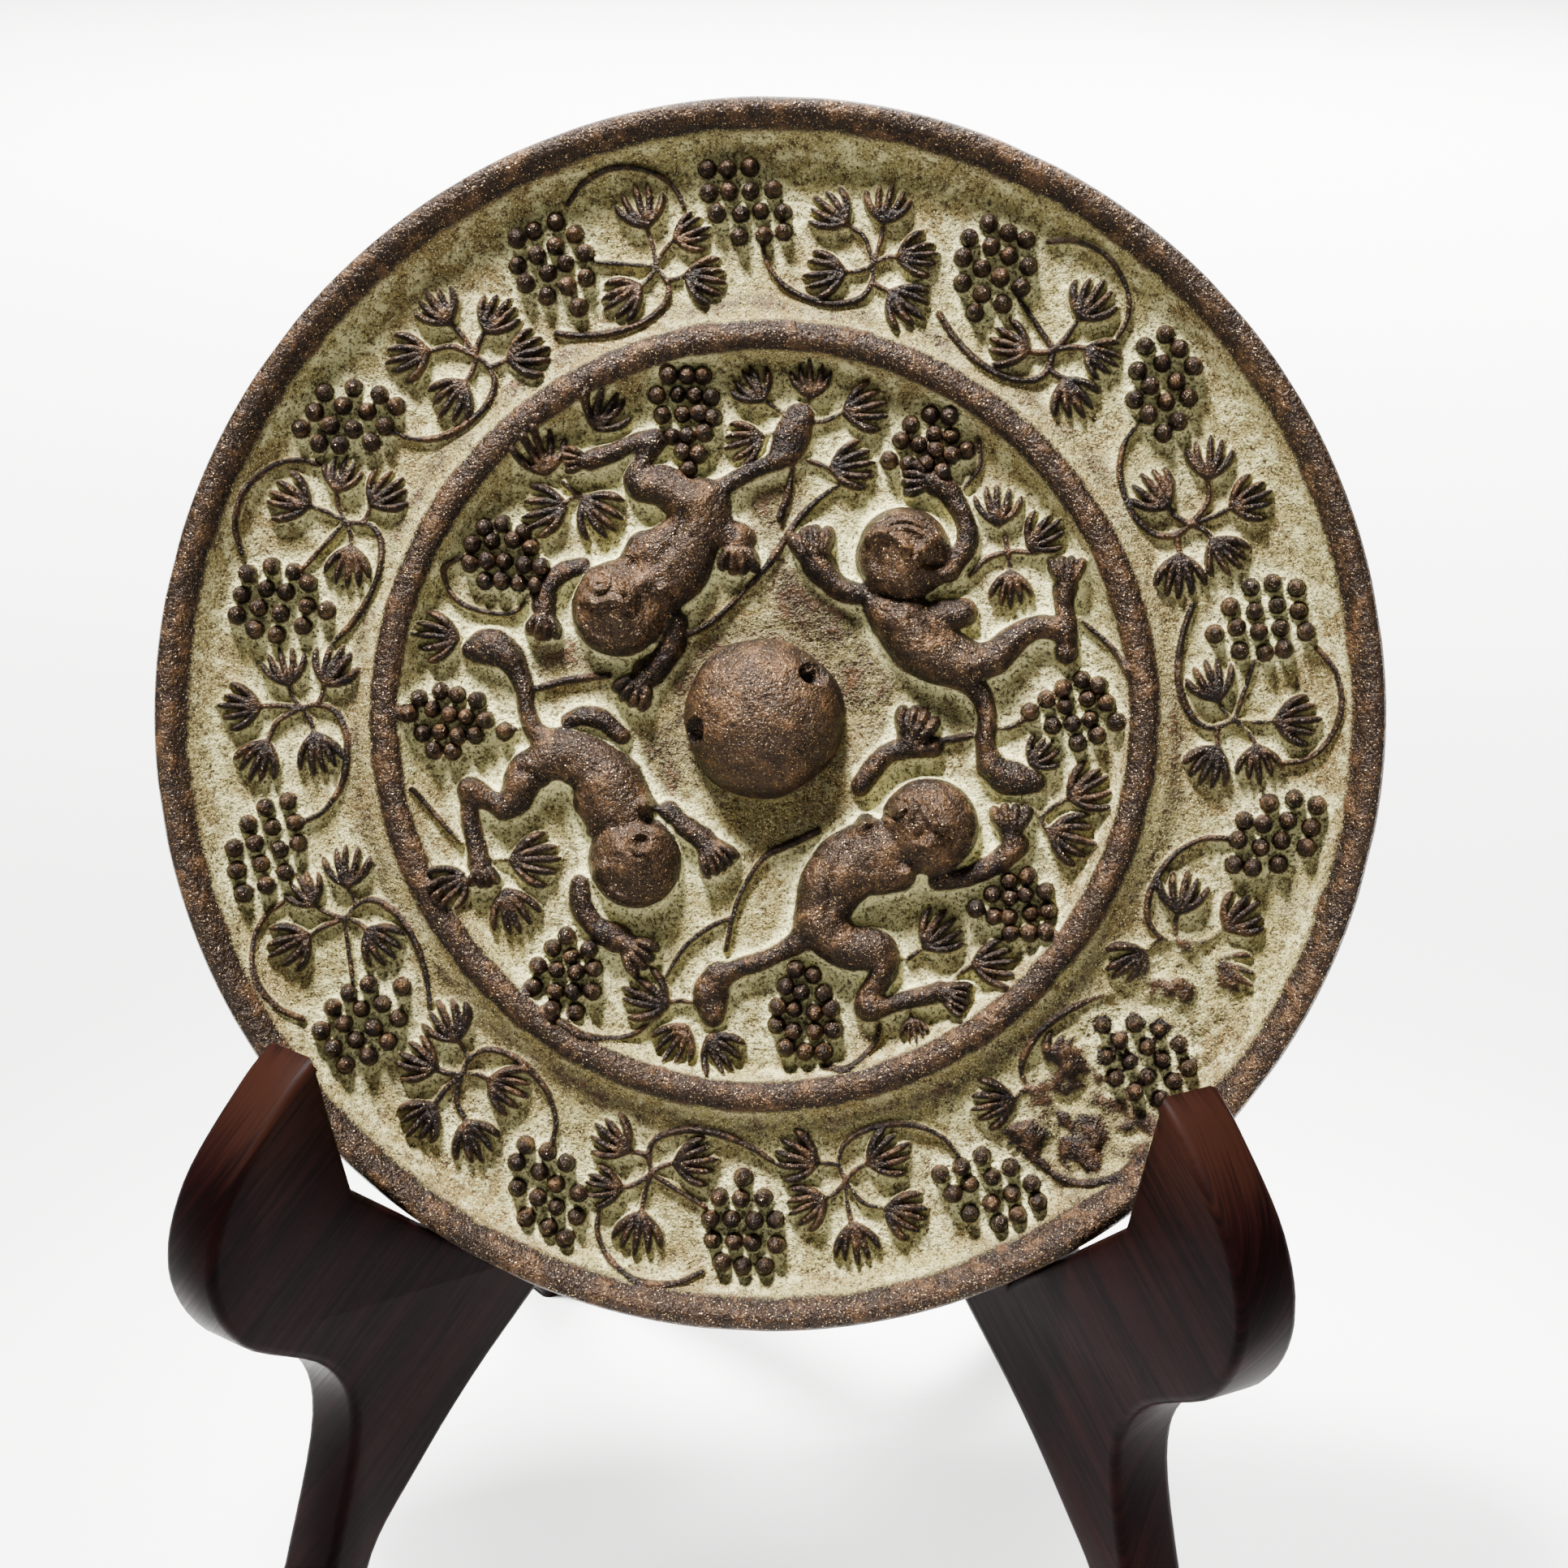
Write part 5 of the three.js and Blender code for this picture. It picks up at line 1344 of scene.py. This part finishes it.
def build_board(context, name, turn, upper):
    """One board, rounded, halved for the other and cut clear of the mirror."""
    sizes, mirror, seat, _drop, back = cradle_frame(context)
    half = sizes.thickness / 2
    points, faces = rounded_slab(board_outline(context), half, sizes.edge_round)
    piece = mesh_object(f"{name}_finish", points, faces)
    # One block cuts the halving, above or below the crossing's middle, and a disc makes room for the mirror.
    crossing = 2 * sizes.splay
    width = sizes.thickness * (1 + abs(math.cos(crossing))) / math.sin(crossing) + 2 * sizes.fit_gap
    reach = 220
    level = sizes.seat_height + sizes.halving_rise + (1 if upper else -1) * (reach / 2 - sizes.fit_gap / 2)
    block = bmesh.new()
    bmesh.ops.create_cube(block, size=1)
    bmesh.ops.transform(block, verts=block.verts, matrix=Matrix.Translation((0, 0, level))
                        @ Matrix.Diagonal((width, 2 * sizes.thickness, reach, 1)))
    disc = bmesh.new()
    bmesh.ops.create_cone(disc, cap_ends=True, segments=180, radius1=mirror.radius + sizes.fit_gap,
                          radius2=mirror.radius + sizes.fit_gap, depth=mirror.rim_height + 2 * sizes.fit_gap)
    stand = Matrix.Rotation(-(math.pi / 2 - turn * sizes.splay), 4, "Z")
    lie = Matrix.Translation(back) @ Matrix.Rotation(math.pi / 2 - mirror.lean, 4, "X")
    bmesh.ops.transform(disc, verts=disc.verts,
                        matrix=stand @ lie @ Matrix.Translation((0, 0, mirror.rim_height / 2)))
    cut_away(piece, {"halving": block, "mirror_room": disc})
    coords = mesh_coords(piece.data)
    layer = piece.data.uv_layers.new(name="grain")
    loops = np.empty(len(piece.data.loops), dtype=int)
    piece.data.loops.foreach_get("vertex_index", loops)
    lengthwise = coords[loops, 0] * 0.8 + coords[loops, 2] * 0.6
    crosswise = coords[loops, 2] * 0.8 - coords[loops, 0] * 0.6 + coords[loops, 1]
    layer.data.foreach_set("uv", (np.column_stack([lengthwise, crosswise]) * MM).ravel())
    # The lacquer is rubbed on the front of the hook's tip.
    along, up = coords[:, 0] - seat, coords[:, 2] - sizes.seat_height
    tip = np.clip(1 - np.hypot(along + 19, up - 19) / 14, 0, 1)
    store(piece.data, "wear", tip * np.clip((-along - 10) / 6, 0, 1))
    box_low, box_high = (np.array(corner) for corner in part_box(name))
    turned = Matrix.Rotation(math.pi / 2 - turn * sizes.splay, 4, "Z") @ Matrix.Scale(MM, 4)
    piece.data.transform(turned)
    coords = mesh_coords(piece.data)
    coords[:, 1] += (box_low[1] + box_high[1] - coords[:, 1].min() - coords[:, 1].max()) / 2
    piece.data.vertices.foreach_set("co", np.clip(coords, box_low, box_high).ravel())
    piece.data.update()
    piece.data.polygons.foreach_set("use_smooth", [True] * len(piece.data.polygons))
    piece.data.set_sharp_from_angle(angle=math.radians(35))
    settle(piece, name, lacquered_wood())


class CRADLE_OT_boards(bpy.types.Operator):
    """Builds the two crossed boards of the cradle"""

    bl_idname = "bronze_mirror.cradle"
    bl_label = "Cradle"

    def execute(self, context):
        for name, turn, upper in (("stand_board_left", 1, True), ("stand_board_right", -1, False)):
            build_board(context, name, turn, upper)
        return {"FINISHED"}


def lamp(name, place, target, size, power, spread):
    """A soft square lamp that faces a point."""
    light = bpy.data.lights.new(name, "AREA")
    light.shape = "SQUARE"
    light.size = size
    light.energy = power
    light.spread = math.radians(spread)
    holder = bpy.data.objects.new(name, light)
    bpy.context.collection.objects.link(holder)
    holder.location = place
    holder.rotation_euler = (Vector(target) - Vector(place)).to_track_quat("-Z", "Y").to_euler()


class STUDIO_OT_stage(bpy.types.Operator):
    """Builds the pale floor, the soft lights and the camera"""

    bl_idname = "bronze_mirror.stage"
    bl_label = "Stage"

    def execute(self, context):
        material, _tree, shader = new_material("matt_white_card")
        shader.inputs["Base Color"].default_value = (*linear("#F4F4F2"), 1)
        shader.inputs["Roughness"].default_value = 0.9
        reach = 6
        corners = [(-reach, -reach, 0), (reach, -reach, 0), (reach, reach, 0), (-reach, reach, 0)]
        floor = mesh_object("floor", corners, [(0, 1, 2, 3)], False)
        floor.data.materials.append(material)
        world = bpy.data.worlds.new("studio")
        world.use_nodes = True
        background = world.node_tree.nodes["Background"]
        background.inputs["Color"].default_value = (*linear("#FFFFFF"), 1)
        background.inputs["Strength"].default_value = 0.09
        context.scene.world = world
        # The key light grazes the relief from above and the left, and the wash keeps the far floor pale.
        middle = (0, 0, 0.09)
        lamp("key", (-0.12, -0.07, 0.62), middle, 0.12, 1.0, 30)
        lamp("fill", (0.4, -0.75, 0.3), middle, 0.5, 0.06, 60)
        lamp("floor_wash", (0, 1.5, 1.2), (0, 0.9, 0), 1.2, 105, 90)
        camera = bpy.data.cameras.new("camera")
        camera.sensor_width = 36
        camera.lens = CAMERA_LENS
        camera.clip_start = 0.01
        camera.dof.use_dof = False
        holder = bpy.data.objects.new("camera", camera)
        context.collection.objects.link(holder)
        sizes = context.scene.bronze_mirror_sizes
        yaw, pitch, roll = (math.radians(angle) for angle in CAMERA_TURN)
        look = Matrix.Rotation(yaw, 3, "Y") @ Matrix.Rotation(-pitch, 3, "X") @ Matrix.Rotation(roll, 3, "Z")
        eye = Vector((*CAMERA_AIM, sizes.rim_height - 1)) + CAMERA_DISTANCE * look.col[2]
        holder.location = mirror_place() @ eye
        holder.rotation_euler = (Matrix.Rotation(math.pi / 2 - sizes.lean, 3, "X") @ look).to_euler()
        context.scene.camera = holder
        return {"FINISHED"}


class MIRROR_PT_panel(bpy.types.Panel):
    """Lists the sizes, the colours and the operators of the mirror"""

    bl_label = "Bronze Mirror"
    bl_idname = "MIRROR_PT_panel"
    bl_space_type = "VIEW_3D"
    bl_region_type = "UI"
    bl_category = "Bronze Mirror"

    def draw(self, context):
        scene = context.scene
        for name in GROUPS:
            group = getattr(scene, name)
            box = self.layout.box()
            for key in group.__annotations__:
                box.prop(group, key)
        for operator in OPERATORS:
            self.layout.operator(operator.bl_idname)


GROUPS = {
    "bronze_mirror_sizes": BronzeMirrorSizes,
    "bronze_mirror_colours": BronzeMirrorColours,
    "cradle_sizes": CradleSizes,
    "cradle_colours": CradleColours,
}
OPERATORS = (MIRROR_OT_casting, MIRROR_OT_grapes, MIRROR_OT_knob, CRADLE_OT_boards, STUDIO_OT_stage)


def register():
    for name, group in GROUPS.items():
        bpy.utils.register_class(group)
        setattr(bpy.types.Scene, name, PointerProperty(type=group))
    for item in (*OPERATORS, MIRROR_PT_panel):
        bpy.utils.register_class(item)


def unregister():
    for item in reversed((*OPERATORS, MIRROR_PT_panel)):
        bpy.utils.unregister_class(item)
    for name, group in reversed(GROUPS.items()):
        delattr(bpy.types.Scene, name)
        bpy.utils.unregister_class(group)


def main():
    register()
    for operator in OPERATORS:
        group, name = operator.bl_idname.split(".")
        getattr(getattr(bpy.ops, group), name)()


if __name__ == "__main__":
    main()
